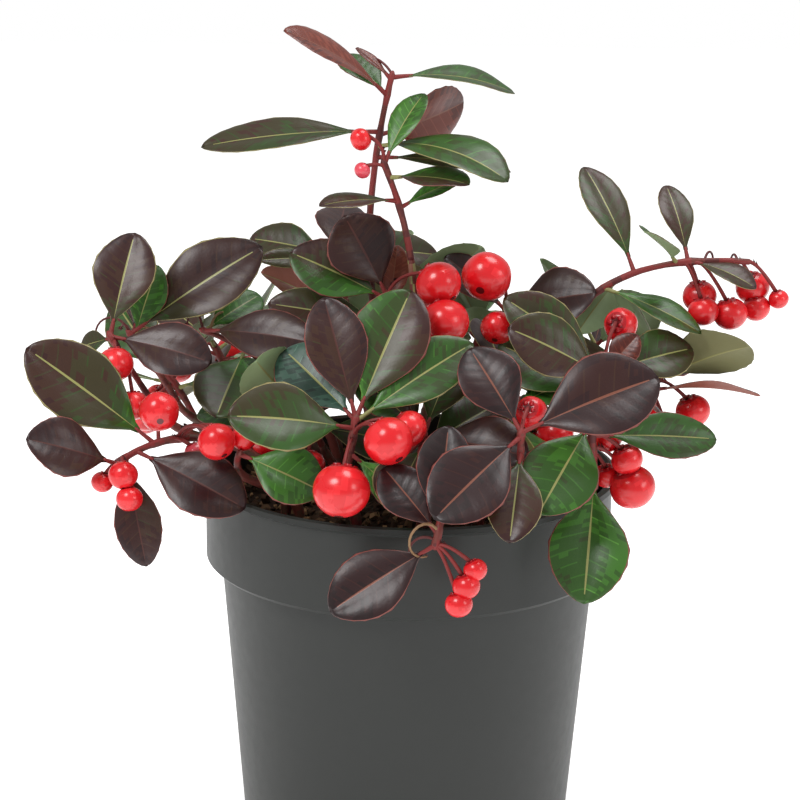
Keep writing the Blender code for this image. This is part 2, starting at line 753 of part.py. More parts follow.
def make_plant():
    bark = material("stem_bark", (0.115, 0.045, 0.035), 0.55)
    dark_leaf = material("leaf_bronze", (0.060, 0.035, 0.028), 0.38)
    green_leaf = material("leaf_green", (0.060, 0.120, 0.025), 0.38)
    red_berry = material("berry_red", (0.62, 0.012, 0.016), 0.28)
    slots = [bark, dark_leaf, green_leaf, red_berry]
    plants = all_shoots()
    limbs = []
    for plant in plants:
        solid = stem_solid(plant)
        stem = mesh_object("stem_" + plant.name, solid, [bark])
        stem.data.shade_smooth()
        stem.data.set_sharp_from_angle(angle=math.radians(70))
        limbs.append(tree_of(solid))
    for plant, (leaves, berries) in zip(plants, grow(plants, limbs)):
        solids = [(twig_solid(plant), 0)]
        for one, root in leaves:
            solids.append((leaf_solid(one, root), 2 if "green" in one.tint else 1))
        for one, root in berries:
            solids.append((berry_stalk(one, root), 0))
            solids.append((berry_solid(one, root), 3))
        fused("foliage_" + plant.name, solids, slots)


def main():
    for obj in list(bpy.data.objects):
        bpy.data.objects.remove(obj)
    make_pot()
    make_soil()
    make_plant()


main()
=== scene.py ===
"""Looks of a potted wintergreen, whose leaves, berries, twigs and stems grow by the same rule as its solids.

Metres, +Z up, the front faces -Y. The shoot tables are in millimetres and degrees, as in the part's source.
"""
import functools
import itertools
import json
import math
import random
from collections import namedtuple

import bpy
from mathutils import Matrix, Vector, noise
from mathutils.bvhtree import BVHTree

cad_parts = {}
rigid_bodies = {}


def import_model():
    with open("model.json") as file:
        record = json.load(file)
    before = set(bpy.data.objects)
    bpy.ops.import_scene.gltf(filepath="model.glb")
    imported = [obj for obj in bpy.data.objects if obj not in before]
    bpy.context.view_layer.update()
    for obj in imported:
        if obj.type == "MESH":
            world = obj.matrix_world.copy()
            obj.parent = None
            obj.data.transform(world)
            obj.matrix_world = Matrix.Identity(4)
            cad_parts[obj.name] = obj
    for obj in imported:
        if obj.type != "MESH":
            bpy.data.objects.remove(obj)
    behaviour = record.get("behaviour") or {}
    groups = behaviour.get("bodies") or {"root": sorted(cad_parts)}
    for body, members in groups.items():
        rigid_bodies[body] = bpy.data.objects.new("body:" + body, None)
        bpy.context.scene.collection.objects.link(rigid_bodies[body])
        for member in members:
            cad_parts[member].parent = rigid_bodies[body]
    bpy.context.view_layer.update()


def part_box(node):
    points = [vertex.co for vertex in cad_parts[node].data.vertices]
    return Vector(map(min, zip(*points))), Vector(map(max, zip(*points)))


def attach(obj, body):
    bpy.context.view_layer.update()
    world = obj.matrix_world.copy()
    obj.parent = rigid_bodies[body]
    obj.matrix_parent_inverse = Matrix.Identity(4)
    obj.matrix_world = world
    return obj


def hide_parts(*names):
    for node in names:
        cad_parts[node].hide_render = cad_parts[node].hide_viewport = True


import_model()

MM = 0.001

# The pot
POT_HEIGHT = 0.112
RIM_RADIUS = 0.060
BAND_HEIGHT = 0.0263
BAND_FOOT_RADIUS = 0.0584
BODY_TOP_RADIUS = 0.0541
FOOT_RADIUS = 0.0475
POT_WALL = 0.0016
RIM_ROLL = 0.0011
DRAIN_HOLES = 8
DRAIN_RING_RADIUS = 0.033
DRAIN_RADIUS = 0.0045

# The soil that fills it
SOIL_DROP = 0.008
SOIL_TOP = POT_HEIGHT - SOIL_DROP
GAP = 0.0003

# Stems and twigs
STEM_FOOT_RADIUS = 0.0017
STEM_TIP_RADIUS = 0.0012
STEM_SIDES = 6
STEM_STATIONS = 6
TWIG_TIP_SHARE = 0.75
TWIG_SIDES = 4
TWIG_STATIONS = 4

# Leaves: a share of each one's length is its stalk, and the blade is widest a little past its middle
STALK_SHARE = 0.13
STALK_RADIUS = 0.0007
ROOT_RADIUS = 0.00045
LEAF_STATIONS = (0.0, 0.14, 0.38, 0.74)
LEAF_THICKNESS = 0.018
LEAF_FOLD = 14.0
BLADE_LEAN = 1.15
BASE_POWER = 0.95
TIP_POWER = 0.62
WIDEST = 0.5 ** (1 / BLADE_LEAN)

# Berries, a little wider than they are tall
BERRY_SQUASH = 0.94
BERRY_STALK_RADIUS = 0.0005
BERRY_SEGMENTS = 7
BERRY_RINGS = 5
SMALL_BERRY = 0.0075

# Each mass keeps within this distance of its twig
MASS_REACH = 0.056

# Changes of heading, rise and size that a leaf or berry tries, in turn, to lie clear of what is there already
YIELDS = (
    (0, 0, 1.0), (0, 7, 1.0), (7, 0, 1.0), (-7, 0, 1.0), (0, -7, 1.0),
    (0, 14, 0.95), (13, 4, 0.95), (-13, 4, 0.95),
    (0, -14, 0.9), (18, 10, 0.9), (-18, 10, 0.9), (0, 22, 0.85),
)

# Ways of the light, as heading and rise: most leaves at the front turn to it, the high ones only a little
TO_FRONT = (-90, 38)
TO_SKY = (-90, 72)
LIGHT_RISE = 48

Leaf = namedtuple("Leaf", "at heading rise length width bend roll tint facing")
Berry = namedtuple("Berry", "at heading rise reach size")
Shoot = namedtuple("Shoot", "name foot joint middle end leaves berries")


def direction(heading, rise):
    """The unit vector of a heading and a rise in degrees."""
    h, r = math.radians(heading), math.radians(rise)
    return Vector((math.cos(h) * math.cos(r), math.sin(h) * math.cos(r), math.sin(r)))


def leaf(at, heading, rise, length, width, tint, bend=15, roll=0):
    """One leaf: where it leaves its twig, the line from its root to its tip, its size and its colour."""
    return Leaf(at, heading, rise, length * MM, width * MM, bend, roll, tint, None)


def berry(at, heading, rise, reach, size):
    """One berry: where its stalk leaves the twig, the way to its middle, and its width."""
    return Berry(at, heading, rise, reach * MM, size * MM)


def shoot(name, foot, joint, middle, end, leaves, berries=(), facing=TO_FRONT):
    """A stem from the soil to its joint, and a twig on through the middle point to its end.

    facing is the heading and rise of the light, which the leaves turn their faces to.
    """
    places = [Vector(p) * MM for p in (joint, middle, end)]
    base = Vector((foot[0] * MM, foot[1] * MM, SOIL_TOP + GAP))
    light = direction(*facing)
    return Shoot(name, base, *places, tuple(one._replace(facing=light) for one in leaves), tuple(berries))


FRONT_SHOOTS = (
    shoot("over_rim", (3, -46), (8, -60, 117), (8, -65, 115), (7, -67, 110), (
        leaf(0.98, -165, -30, 32, 18, "plum"),
        leaf(0.75, 80, 60, 29, 15, "plum"),
        leaf(0.75, 145, 40, 23, 14, "plum"),
        leaf(0.60, 55, 40, 14, 7, "rust"),
    ), (
        berry(1.0, -20, -25, 12, 6.2),
        berry(1.0, -30, -45, 13, 7.2),
        berry(1.0, -40, -60, 16, 7.2),
    )),
    shoot("front_middle", (18, -42), (29, -51, 124), (29, -53, 131), (29, -54, 137), (
        leaf(0.98, 135, 45, 27, 17, "plum"),
        leaf(0.98, 12, 20, 39, 24, "plum", bend=18),
        leaf(0.90, -140, -30, 34, 21, "plum"),
        leaf(0.55, -100, -45, 27, 15, "bronze_green"),
    ), (
        berry(0.95, 70, 25, 9, 8.6),
        berry(0.35, 60, -55, 6, 7.2),
    )),
    shoot("front_left", (-14, -40), (-16, -46, 126), (-15, -46, 132), (-14, -45, 138), (
        leaf(0.98, 50, 55, 38, 22, "half_green"),
        leaf(0.75, -160, 10, 35, 20, "grey_green", bend=22),
        leaf(0.90, 20, 30, 38, 17, "deep_green", bend=20),
        leaf(0.92, 140, 30, 30, 20, "teal"),
        leaf(0.95, 125, 55, 34, 17, "bronze"),
        leaf(0.20, -15, -38, 24, 11, "green"),
    ), (
        berry(0.50, -100, -35, 17, 15),
        berry(0.55, -50, -5, 15, 13.6),
        berry(0.60, -10, 10, 15, 10),
    )),
    shoot("front_right", (32, -34), (50, -38, 119), (49, -40, 129), (48, -41, 137), (
        leaf(0.95, -125, -37, 32, 21, "green"),
        leaf(0.10, -100, -55, 36, 22, "cool_green"),
        leaf(0.70, 15, -5, 36, 14, "green"),
    ), (
        berry(0.70, 30, -5, 20, 9.8),
        berry(0.70, 10, -35, 12, 8.6),
        berry(0.50, 10, -45, 16, 12.4),
        berry(0.85, 50, -30, 9, 8),
        berry(0.40, 50, -55, 10, 7),
    )),
    shoot("left_low", (-34, -22), (-60, -28, 127), (-70, -32, 126), (-79, -38, 122), (
        leaf(0.45, -178, 38, 43, 22, "bronze_green"),
        leaf(0.70, -18, -8, 38, 21, "bronze"),
        leaf(0.98, -150, 22, 27, 17, "bronze"),
        leaf(0.98, 165, -68, 31, 13, "bronze"),
        leaf(0.85, -50, -65, 30, 13, "bronze"),
    ), (
        berry(0.40, -80, 55, 13, 10.8),
        berry(0.15, -50, 10, 19, 10.2),
        berry(0.10, -30, -5, 21, 7.6),
        berry(0.25, -20, -20, 8, 6),
        berry(0.90, -80, -20, 7, 8),
        berry(0.90, -70, -45, 12, 7.2),
        berry(0.95, -170, -50, 7, 6),
    )),
    shoot("left_middle", (-32, -12), (-69, -18, 131), (-76, -18, 142), (-83, -16, 153), (
        leaf(0.98, 65, 63, 30, 18, "bronze_edged"),
        leaf(0.97, -15, -10, 30, 17, "bronze", bend=22),
        leaf(0.55, -62, -30, 25, 18, "bright_green"),
        leaf(0.95, 150, -20, 12, 8, "olive"),
    ), (
        berry(0.90, -80, -28, 9, 9.8),
        berry(0.85, -95, -38, 14, 8.6),
        berry(0.68, -70, -48, 14, 8.6),
    )),
    shoot("low_left", (-30, -28), (-46, -37, 121), (-46, -39, 124), (-45, -42, 127), (
        leaf(0.90, -15, -20, 25, 17, "green"),
    )),
    shoot("right_middle", (28, -10), (54, -14, 130), (54, -14, 137), (54, -14, 144), (
        leaf(0.95, 172, 35, 35, 17, "olive", bend=20),
        leaf(0.85, -175, 28, 32, 19, "bronze_olive", bend=22),
        leaf(0.95, 22, 10, 28, 16, "olive", bend=20),
        leaf(0.45, 155, 20, 34, 20, "deep_green"),
        leaf(0.95, 5, 50, 14, 9, "rust"),
    ), (
        berry(0.98, 60, 50, 15, 9.6),
    )),
    shoot("middle_left", (-20, 2), (-37, 2, 138), (-48, 0, 146), (-59, 0, 151), (
        leaf(0.98, -25, 0, 36, 16, "bronze", bend=25),
        leaf(0.97, 45, 20, 22, 13, "bright_green"),
        leaf(0.45, -105, -30, 28, 20, "grey_green"),
    )),
    shoot("middle", (-3, -6), (-5, -4, 148), (-6, -4, 155), (-7, -4, 163), (
        leaf(0.98, 165, 60, 25, 21, "bronze"),
        leaf(0.90, 178, 25, 30, 18, "half_green", bend=20),
        leaf(0.40, 180, 10, 35, 14, "bronze_olive"),
        leaf(0.60, 80, 55, 22, 9, "rust"),
    ), (
        berry(0.90, -30, 20, 19, 12.8),
        berry(0.60, -50, 5, 24, 13.6),
    )),
    shoot("middle_right", (13, 8), (32, 12, 143), (30, 12, 150), (27, 12, 156), (
        leaf(0.95, -22, 15, 28, 19, "bronze"),
        leaf(0.80, -5, 10, 22, 10, "green"),
        leaf(0.90, 170, 40, 24, 12, "bronze"),
        leaf(0.30, -60, 5, 26, 15, "green"),
    ), (
        berry(0.90, -110, 35, 24, 14),
        berry(0.50, -105, 12, 23, 9.6),
    )),
    shoot("left_high", (-31, 4), (-66, 0, 129), (-74, 0, 142), (-80, 0, 150), (
        leaf(0.95, 10, 33, 45, 22, "bronze_edged", bend=18),
        leaf(0.90, 75, 50, 24, 15, "bronze"),
        leaf(0.85, 32, 62, 22, 12, "green"),
    )),
    shoot("second", (-1, -14), (0, -6, 172), (-3, -6, 186), (-8, -6, 200), (
        leaf(0.98, 45, 50, 24, 10, "green", bend=32),
        leaf(0.85, -30, 0, 25, 14, "half_green", bend=20),
        leaf(0.62, -152, 0, 24, 10, "bronze_olive", bend=18),
        leaf(0.55, 25, 20, 20, 8, "green"),
    ), (
        berry(1.0, -170, 45, 9, 6.2),
        berry(0.93, -160, 0, 7, 4.6),
    ), TO_SKY),
    shoot("top", (-6, 7), (-12, 6, 181), (-10, 5, 202), (-6, 4, 223), (
        leaf(0.86, -150, 30, 37, 15, "rust", bend=25, roll=-12),
        leaf(0.86, 140, 30, 20, 12, "green", bend=20),
        leaf(0.98, 18, -8, 37, 15, "deep_green", bend=32),
        leaf(0.52, -30, -23, 44, 21, "deep_green", bend=50),
        leaf(0.62, -175, -5, 50, 15, "olive", bend=16, roll=-12),
        leaf(0.60, 35, 15, 30, 20, "rust", roll=95),
        leaf(0.45, -5, -5, 38, 12, "olive"),
        leaf(0.97, 150, 35, 14, 4, "rust"),
    ), (), TO_SKY),
    shoot("right", (24, 2), (48, 4, 158), (67, 6, 169), (96, 8, 171), (
        leaf(0.42, 120, 45, 38, 13, "olive", bend=25),
        leaf(0.66, -130, 33, 21, 14, "green", bend=20),
        leaf(0.72, 105, 45, 27, 10, "bronze_olive", bend=32),
        leaf(0.74, -25, -18, 20, 11, "bronze_olive", bend=25),
        leaf(0.20, -15, -20, 31, 12, "deep_green", bend=20),
        leaf(0.36, -12, -25, 34, 18, "green", roll=100),
        leaf(0.30, 130, -50, 24, 16, "green", roll=60),
    ), (
        berry(0.72, 20, -68, 11, 9.8),
        berry(0.70, -40, -62, 15, 8.8),
        berry(0.76, -10, -55, 18, 9.8),
        berry(0.95, 40, -50, 11, 9.8),
        berry(0.90, 10, -55, 17, 8),
        berry(1.0, 0, -50, 14, 5.8),
    ), TO_SKY),
    shoot("back_middle", (-8, 15), (-19, 18, 156), (-21, 18, 164), (-23, 18, 171), (
        leaf(0.90, 155, 5, 28, 14, "olive"),
        leaf(0.80, -145, 5, 26, 7, "olive"),
        leaf(0.95, 25, -5, 34, 14, "olive", bend=20),
        leaf(0.90, 85, 20, 30, 16, "bronze"),
    )),
)

# Shoots that the rule grows: name, heading from the middle, foot radius, end radius, end height, leaves, seed
GROWN_SHOOTS = (
    ("right_back", 38, 30, 72, 138, 8, 11),
    ("right_side", 8, 36, 74, 137, 7, 12),
    ("back_right", 64, 28, 50, 143, 8, 13),
    ("back_left", 112, 28, 52, 145, 8, 14),
    ("left_back", 146, 32, 74, 139, 8, 15),
    ("left_side", 172, 36, 72, 136, 6, 16),
    ("back_rim_right", 84, 36, 82, 138, 7, 17),
    ("back_rim_left", 126, 36, 84, 137, 7, 18),
    ("inner_left", -155, 20, 36, 134, 7, 19),
    ("inner_right", -28, 18, 34, 136, 7, 20),
    ("inner_front", -84, 22, 38, 132, 6, 21),
    ("inner_back", 95, 14, 26, 146, 7, 22),
)
GOLDEN_ANGLE = 137.5
TWIG_SPAN = 17
GROWN_TINTS = ("bronze", "bronze_edged", "bronze_green", "green", "deep_green", "half_green", "plum", "olive")


def grown_shoot(name, heading, foot_radius, end_radius, height, count, seed):
    """A shoot whose leaves turn round the twig by the golden angle, the lower ones drooping more."""
    rng = random.Random(seed)
    out = direction(heading, 0)
    foot = out * foot_radius
    end = out * end_radius + Vector((0, 0, height))
    joint = end - (out * 0.55 + Vector((0, 0, 0.84))) * TWIG_SPAN
    middle = (joint + end) / 2 + Vector((0, 0, 1.5))
    start = rng.uniform(0, 360)
    leaves = []
    for i in range(count):
        turn = start + GOLDEN_ANGLE * i + rng.uniform(-14, 14)
        away = math.cos(math.radians(turn - heading))
        rise = 42 - 9 * i - 12 * away + rng.uniform(-7, 7)
        length = rng.uniform(27, 37)
        width = length * rng.uniform(0.52, 0.62)
        tint = rng.choice(GROWN_TINTS)
        leaves.append(leaf(0.98 - 0.1 * i, turn, rise, length, width, tint, bend=rng.uniform(12, 26)))
    berries = []
    for i in range(3):
        turn = heading + rng.uniform(-80, 80)
        fall = rng.uniform(-60, -25)
        berries.append(berry(0.8 - 0.2 * i, turn, fall, rng.uniform(12, 16), rng.uniform(8, 11.5)))
    return shoot(name, foot[:2], joint, middle, end, leaves, berries, (heading, LIGHT_RISE))


def on_curve(start, middle, end, t):
    """The point at a share t of a curve through three points."""
    bend = 2 * middle - 0.5 * (start + end)
    return (1 - t) ** 2 * start + 2 * t * (1 - t) * bend + t * t * end


def on_twig(plant, t):
    return on_curve(plant.joint, plant.middle, plant.end, t)


def twig_start(plant):
    """The direction in which the twig leaves its joint."""
    return (2 * plant.middle - 0.5 * (plant.joint + plant.end) - plant.joint).normalized()


def stem_path(plant, stations=STEM_STATIONS):
    """Points up the stem: straight out of the soil, then round to the direction of the twig."""
    span = (plant.joint - plant.foot).length
    up = plant.foot + Vector((0, 0, 0.45 * span))
    back = plant.joint - twig_start(plant) * 0.3 * span
    points = []
    for i in range(stations):
        t = i / (stations - 1)
        points.append(
            (1 - t) ** 3 * plant.foot + 3 * t * (1 - t) ** 2 * up
            + 3 * t * t * (1 - t) * back + t**3 * plant.joint
        )
    return points


def twig_path(plant):
    """Points along the twig, which starts clear of the stem's tip."""
    points = [on_twig(plant, i / (TWIG_STATIONS - 1)) for i in range(TWIG_STATIONS)]
    points[0] = plant.joint + twig_start(plant) * GAP
    return points


def spot(radius, k, segments, height):
    """The k-th of a number of points round the Z axis."""
    a = 2 * math.pi * k / segments
    return Vector((radius * math.cos(a), radius * math.sin(a), height))


def around(side, other, k, segments):
    """The k-th of a number of directions in the plane of two others."""
    a = 2 * math.pi * k / segments
    return math.cos(a) * side + math.sin(a) * other


def wall(rings, sides):
    """The faces between a number of rings of points, each ring after the one below it."""
    faces = []
    for low in range(0, (rings - 1) * sides, sides):
        for k in range(sides):
            n = (k + 1) % sides
            faces.append((low + k, low + n, low + sides + n, low + sides + k))
    return faces


def closed_wall(rings, sides):
    """The same faces, with one over the first ring and one over the last."""
    last = (rings - 1) * sides
    return wall(rings, sides) + [tuple(reversed(range(sides))), tuple(range(last, last + sides))]


def tube(path, radii, sides, first=None, last=None):
    """A closed tube along a path: its points and faces. first and last set the directions of its ends."""
    points = []
    side = None
    for i, centre in enumerate(path):
        along = path[min(i + 1, len(path) - 1)] - path[max(i - 1, 0)]
        if i == 0 and first:
            along = first
        if i == len(path) - 1 and last:
            along = last
        along = along.normalized()
        if side is None:
            side = along.orthogonal().normalized()
        side = (side - along * side.dot(along)).normalized()
        other = along.cross(side)
        points += [centre + radii[i] * around(side, other, k, sides) for k in range(sides)]
    return points, closed_wall(len(path), sides)


def stem_radii(tip, steps):
    """The stem's radius at each step up to its tip's. It tapers most near the soil."""
    return [STEM_FOOT_RADIUS + (tip - STEM_FOOT_RADIUS) * (i / steps) ** 0.5 for i in range(steps + 1)]


def twig_radii(first, steps):
    return [first * (1 + (TWIG_TIP_SHARE - 1) * i / steps) for i in range(steps + 1)]


def stem_solid(plant):
    """The tapering stem, from a flat cut just clear of the soil."""
    radii = stem_radii(STEM_TIP_RADIUS, STEM_STATIONS - 1)
    return tube(stem_path(plant), radii, STEM_SIDES, Vector((0, 0, 1)), twig_start(plant))


def twig_solid(plant):
    radii = twig_radii(STEM_TIP_RADIUS, TWIG_STATIONS - 1)
    return tube(twig_path(plant), radii, TWIG_SIDES, twig_start(plant))


def leaf_axes(one):
    """The leaf's chord, side and face. Unrolled, its face looks as far to the light as it can."""
    along = direction(one.heading, one.rise)
    side = along.cross(one.facing).normalized()
    face = side.cross(along)
    turn = Matrix.Rotation(math.radians(one.roll), 3, along)
    return along, turn @ side, turn @ face


def leaf_line(one, axes, root, s):
    """The leaf's middle and its face's direction at a share s of its length. It is an arc over its chord."""
    along, _, face = axes
    bend = math.radians(one.bend)
    radius = one.length / (2 * math.sin(bend / 2))
    angle = bend * (0.5 - s)
    ahead = radius * (math.sin(bend / 2) - math.sin(angle))
    above = radius * (math.cos(angle) - math.cos(bend / 2))
    return root + ahead * along + above * face, math.cos(angle) * face - math.sin(angle) * along


def half_width(one, s):
    """Half the leaf's width at a share s of its length."""
    t = (s - STALK_SHARE) / (1 - STALK_SHARE)
    if t <= 0 or t >= 1:
        return STALK_RADIUS
    power = BASE_POWER if t < WIDEST else TIP_POWER
    return max(STALK_RADIUS, one.width / 2 * math.sin(math.pi * t**BLADE_LEAN) ** power)


def leaf_solid(one, root, first=0, grow=0.0):
    """A folded blade, thick along its midrib and sharp at its edges. first leaves out the root's stations."""
    axes = leaf_axes(one)
    side = axes[1]
    fold = math.radians(LEAF_FOLD)
    points = []
    for s in LEAF_STATIONS[first:]:
        centre, up = leaf_line(one, axes, root, s)
        if s == 0:
            half = thick = ROOT_RADIUS
            rise = 0.0
        else:
            half = half_width(one, s) + grow
            thick = one.length * LEAF_THICKNESS / 2 + grow
            rise = half * math.sin(fold)
        out = side * half * math.cos(fold)
        lift = up * rise
        points += [centre - out + lift, centre + up * thick, centre + out + lift, centre - up * thick]
    tip = len(points)
    faces = wall(tip // 4, 4)
    points.append(leaf_line(one, axes, root, 1)[0] + axes[0] * grow)
    faces += [(tip - 4 + k, tip - 4 + (k + 1) % 4, tip) for k in range(4)]
    faces.append((3, 2, 1, 0))
    return points, faces


def berry_middle(one, root):
    return root + direction(one.heading, one.rise) * one.reach


def berry_axis(one, root):
    """The way from the berry's middle to its stalk: between the root of the stalk and straight up."""
    return ((root - berry_middle(one, root)).normalized() + Vector((0, 0, 1))).normalized()


def ball_faces(rings, segments):
    """The faces of a ball of a top, rings of points and a foot, in strips from top to foot."""
    faces = []
    foot = 1 + (rings - 1) * segments
    for k in range(segments):
        n = (k + 1) % segments
        faces.append((0, 1 + k, 1 + n))
        for low in range(1, foot - segments, segments):
            faces.append((low + k, low + segments + k, low + segments + n, low + n))
        faces.append((foot, foot - segments + n, foot - segments + k))
    return faces


def berry_solid(one, root, grow=0.0):
    """A ball a little flattened along its stalk."""
    middle, axis = berry_middle(one, root), berry_axis(one, root)
    side = axis.orthogonal().normalized()
    other = axis.cross(side)
    small = one.size < SMALL_BERRY
    segments, rings = BERRY_SEGMENTS - small, BERRY_RINGS - small
    radius = one.size / 2 + grow
    points = [middle + axis * radius * BERRY_SQUASH]
    for i in range(1, rings):
        polar = math.pi * i / rings
        for k in range(segments):
            flat = around(side, other, k, segments)
            points.append(middle + radius * (math.sin(polar) * flat + BERRY_SQUASH * math.cos(polar) * axis))
    points.append(middle - axis * radius * BERRY_SQUASH)
    return points, ball_faces(rings, segments)


def berry_stalk(one, root, grow=0.0):
    """A thin stalk that rises from the twig and comes down into the berry."""
    axis = berry_axis(one, root)
    top = berry_middle(one, root) + axis * one.size / 2 * BERRY_SQUASH
    knee = (root + top) / 2 + axis * 0.12 * one.reach
    return tube([root, knee, top - axis * 0.12 * one.size], [BERRY_STALK_RADIUS + grow] * 3, 3)


def tree_of(solid):
    return BVHTree.FromPolygons(*solid)


def touches(solid, trees):
    mine = tree_of(solid)
    return any(mine.overlap(other) for other in trees)


def in_space(plant, solid):
    """True if a solid stays in its mass's space: near its twig, above the soil and out of the pot's wall."""
    middle = on_twig(plant, 0.5)
    for point in solid[0]:
        radius = math.hypot(point.x, point.y)
        if (point - middle).length > MASS_REACH:
            return False
        if radius < BODY_TOP_RADIUS and point.z < SOIL_TOP + GAP:
            return False
        if BODY_TOP_RADIUS <= radius < RIM_RADIUS + GAP and point.z < POT_HEIGHT + GAP:
            return False
    return True


def grow(plants, limbs):
    """For each shoot in turn, the leaves and berries that found room, with their roots."""
    twigs = [tree_of(twig_solid(plant)) for plant in plants]
    taken = []
    grown = []
    for number, plant in enumerate(plants):
        others = limbs + twigs[:number] + twigs[number + 1:] + taken
        mine, near = [], []
        kept_leaves, kept_berries = [], []
        for one in plant.berries:
            root = on_twig(plant, one.at)
            for turn, lift, share in YIELDS:
                tried = one._replace(heading=one.heading + turn, rise=one.rise + lift, size=one.size * share)
                ball = berry_solid(tried, root, GAP)
                stalk = berry_stalk(tried, root, GAP)
                if in_space(plant, ball) and not touches(ball, others) and not touches(stalk, others):
                    kept_berries.append((tried, root))
                    mine += [tree_of(ball), tree_of(stalk)]
                    near.append(tree_of(ball))
                    break
        for one in plant.leaves:
            root = on_twig(plant, one.at)
            for turn, lift, share in YIELDS:
                tried = one._replace(
                    heading=one.heading + turn, rise=one.rise + lift,
                    length=one.length * share, width=one.width * share,
                )
                whole = leaf_solid(tried, root, 0, GAP)
                blade = leaf_solid(tried, root, 1)
                if in_space(plant, whole) and not touches(whole, others) and not touches(blade, near):
                    kept_leaves.append((tried, root))
                    mine.append(tree_of(whole))
                    near.append(tree_of(blade))
                    break
        taken += mine
        grown.append((kept_leaves, kept_berries))
    return grown


def turned(profile, segments):
    """A solid turned round the Z axis from (radius, height) points, which start and end on the axis."""
    inner = profile[1:-1]
    points = [spot(radius, k, segments, height) for radius, height in inner for k in range(segments)]
    return points, closed_wall(len(inner), segments)


def pot_profile():
    """The pot's section: up its outside, over the rolled rim and down its inside to its floor."""
    band = POT_HEIGHT - BAND_HEIGHT
    corner = 0.0012
    lip = RIM_RADIUS - RIM_ROLL
    inside_band = BAND_FOOT_RADIUS - POT_WALL
    floor_radius = FOOT_RADIUS + (BODY_TOP_RADIUS - FOOT_RADIUS) * POT_WALL / band
    return [
        (0, 0),
        (FOOT_RADIUS - corner, 0),
        (FOOT_RADIUS, corner),
        (BODY_TOP_RADIUS, band + 0.0004),
        (BAND_FOOT_RADIUS - corner, band),
        (BAND_FOOT_RADIUS, band + corner),
        (lip - 0.0006, POT_HEIGHT - 2 * RIM_ROLL - 0.0006),
        (RIM_RADIUS, POT_HEIGHT - 1.5 * RIM_ROLL),
        (RIM_RADIUS - 0.25 * RIM_ROLL, POT_HEIGHT - 0.3 * RIM_ROLL),
        (lip - 0.3 * RIM_ROLL, POT_HEIGHT),
        (lip - 1.4 * RIM_ROLL, POT_HEIGHT - 0.6 * RIM_ROLL),
        (inside_band, band + POT_WALL),
        (BODY_TOP_RADIUS - POT_WALL, band + 0.5 * POT_WALL),
        (floor_radius - POT_WALL, POT_WALL),
        (0, POT_WALL),
    ]


# Colours as they look on a screen. A leaf's ramps run from its darkest tint to its lightest
LEAF_COLOURS = {
    "turning": ("1e0d0e", "281112", "321714", "392116", "363019", "2f3f18", "2d4f19", "386620", "4f8430"),
    "rust": ("3c1712", "501f17", "682c1e", "7a3a2b"),
    "teal": ("1b2723", "263a31", "345043", "4a6858"),
}
# The other colours, by their kind of surface
OTHER_COLOURS = {
    "leaf": {
        "rib_pale": "8d8c54", "rib_pink": "774636", "rib_dark": "4a2722",
        "edge_cream": "93885a", "edge_pink": "834840",
    },
    "under": {"under_green": "8fa57a", "under_olive": "7b7a55", "under_rust": "8b5042"},
    "bark": {
        "stalk_red": "7c2826", "stalk_dark": "561f1e", "stalk_green": "8b8a56", "dry": "8a6a4a",
        "bark_red": "6b3029", "bark_brown": "54362a", "bark_pale": "8a5b4a",
    },
    "berry": {
        "berry_red": "d3141c", "berry_bright": "e0242a", "berry_pink": "dc4a58",
        "berry_deep": "a80d18", "berry_dark": "5e0d12",
    },
    "soil": {"peat_dark": "2a1d15", "peat": "3b2a1e", "peat_light": "5c4633", "chip": "84684b"},
    "plastic": {"pot": "262826"},
}
# Each kind's lowest and highest roughness, grain per metre, depth of grain in metres, coat and specular level
SURFACES = {
    "leaf": (0.28, 0.46, 1400, 0.00006, 0.08, 0.38),
    "under": (0.50, 0.66, 1800, 0.00006, 0.0, 0.3),
    "bark": (0.42, 0.66, 1500, 0.00018, 0.0, 0.4),
    "berry": (0.20, 0.32, 900, 0.00003, 0.25, 0.45),
    "soil": (0.85, 1.0, 900, 0.00050, 0.0, 0.2),
    "plastic": (0.40, 0.52, 2600, 0.00003, 0.0, 0.35),
}
COAT_ROUGHNESS = 0.18
BUMP_STRENGTH = 0.6
PATCH_SIZE_IN_GRAINS = 8

# A leaf's paint: the steps of its left and right sides, what its foot and tip add, its lines and its ramp
USUAL_LINES = ("rib_pale", "edge_pink", "under_green")
PLUM_LINES = ("rib_pink", "edge_pink", "under_rust")
CREAM = "edge_cream"
Tint = namedtuple("Tint", "left right foot tip rib edge under ramp", defaults=(*USUAL_LINES, "turning"))
TINTS = {
    "plum": Tint(0.9, 0.9, 0.4, -0.4, *PLUM_LINES),
    "rust": Tint(1.6, 1.9, 0.3, -0.3, *PLUM_LINES, ramp="rust"),
    "bronze": Tint(1.9, 1.6, 0.8, -0.6, "rib_dark", "edge_pink", "under_olive"),
    "bronze_green": Tint(2.6, 3.3, 3.0, -0.8, edge=CREAM),
    "bronze_edged": Tint(2.0, 2.6, 2.2, -0.4, edge=CREAM),
    "bronze_olive": Tint(2.9, 3.9, 0.7, -0.6, edge=CREAM),
    "half_green": Tint(6.2, 2.6, 1.2, -1.2),
    "grey_green": Tint(5.6, 4.2, 0.8, -0.8, edge=CREAM),
    "deep_green": Tint(5.6, 5.3, 0.8, -0.5, edge=CREAM),
    "cool_green": Tint(6.2, 6.0, 0.6, -0.3),
    "bright_green": Tint(7.1, 7.0, 0.5, -0.3),
    "green": Tint(6.4, 6.2, 0.6, -0.8),
    "teal": Tint(1.0, 1.4, 0.4, -0.5, ramp="teal"),
    "olive": Tint(4.5, 4.2, 0.6, -0.8, edge=CREAM),
}
MOOD = 0.35
PATCH_STEPS = 1.1
PATCHES_PER_METRE = 95
DITHER = 0.45
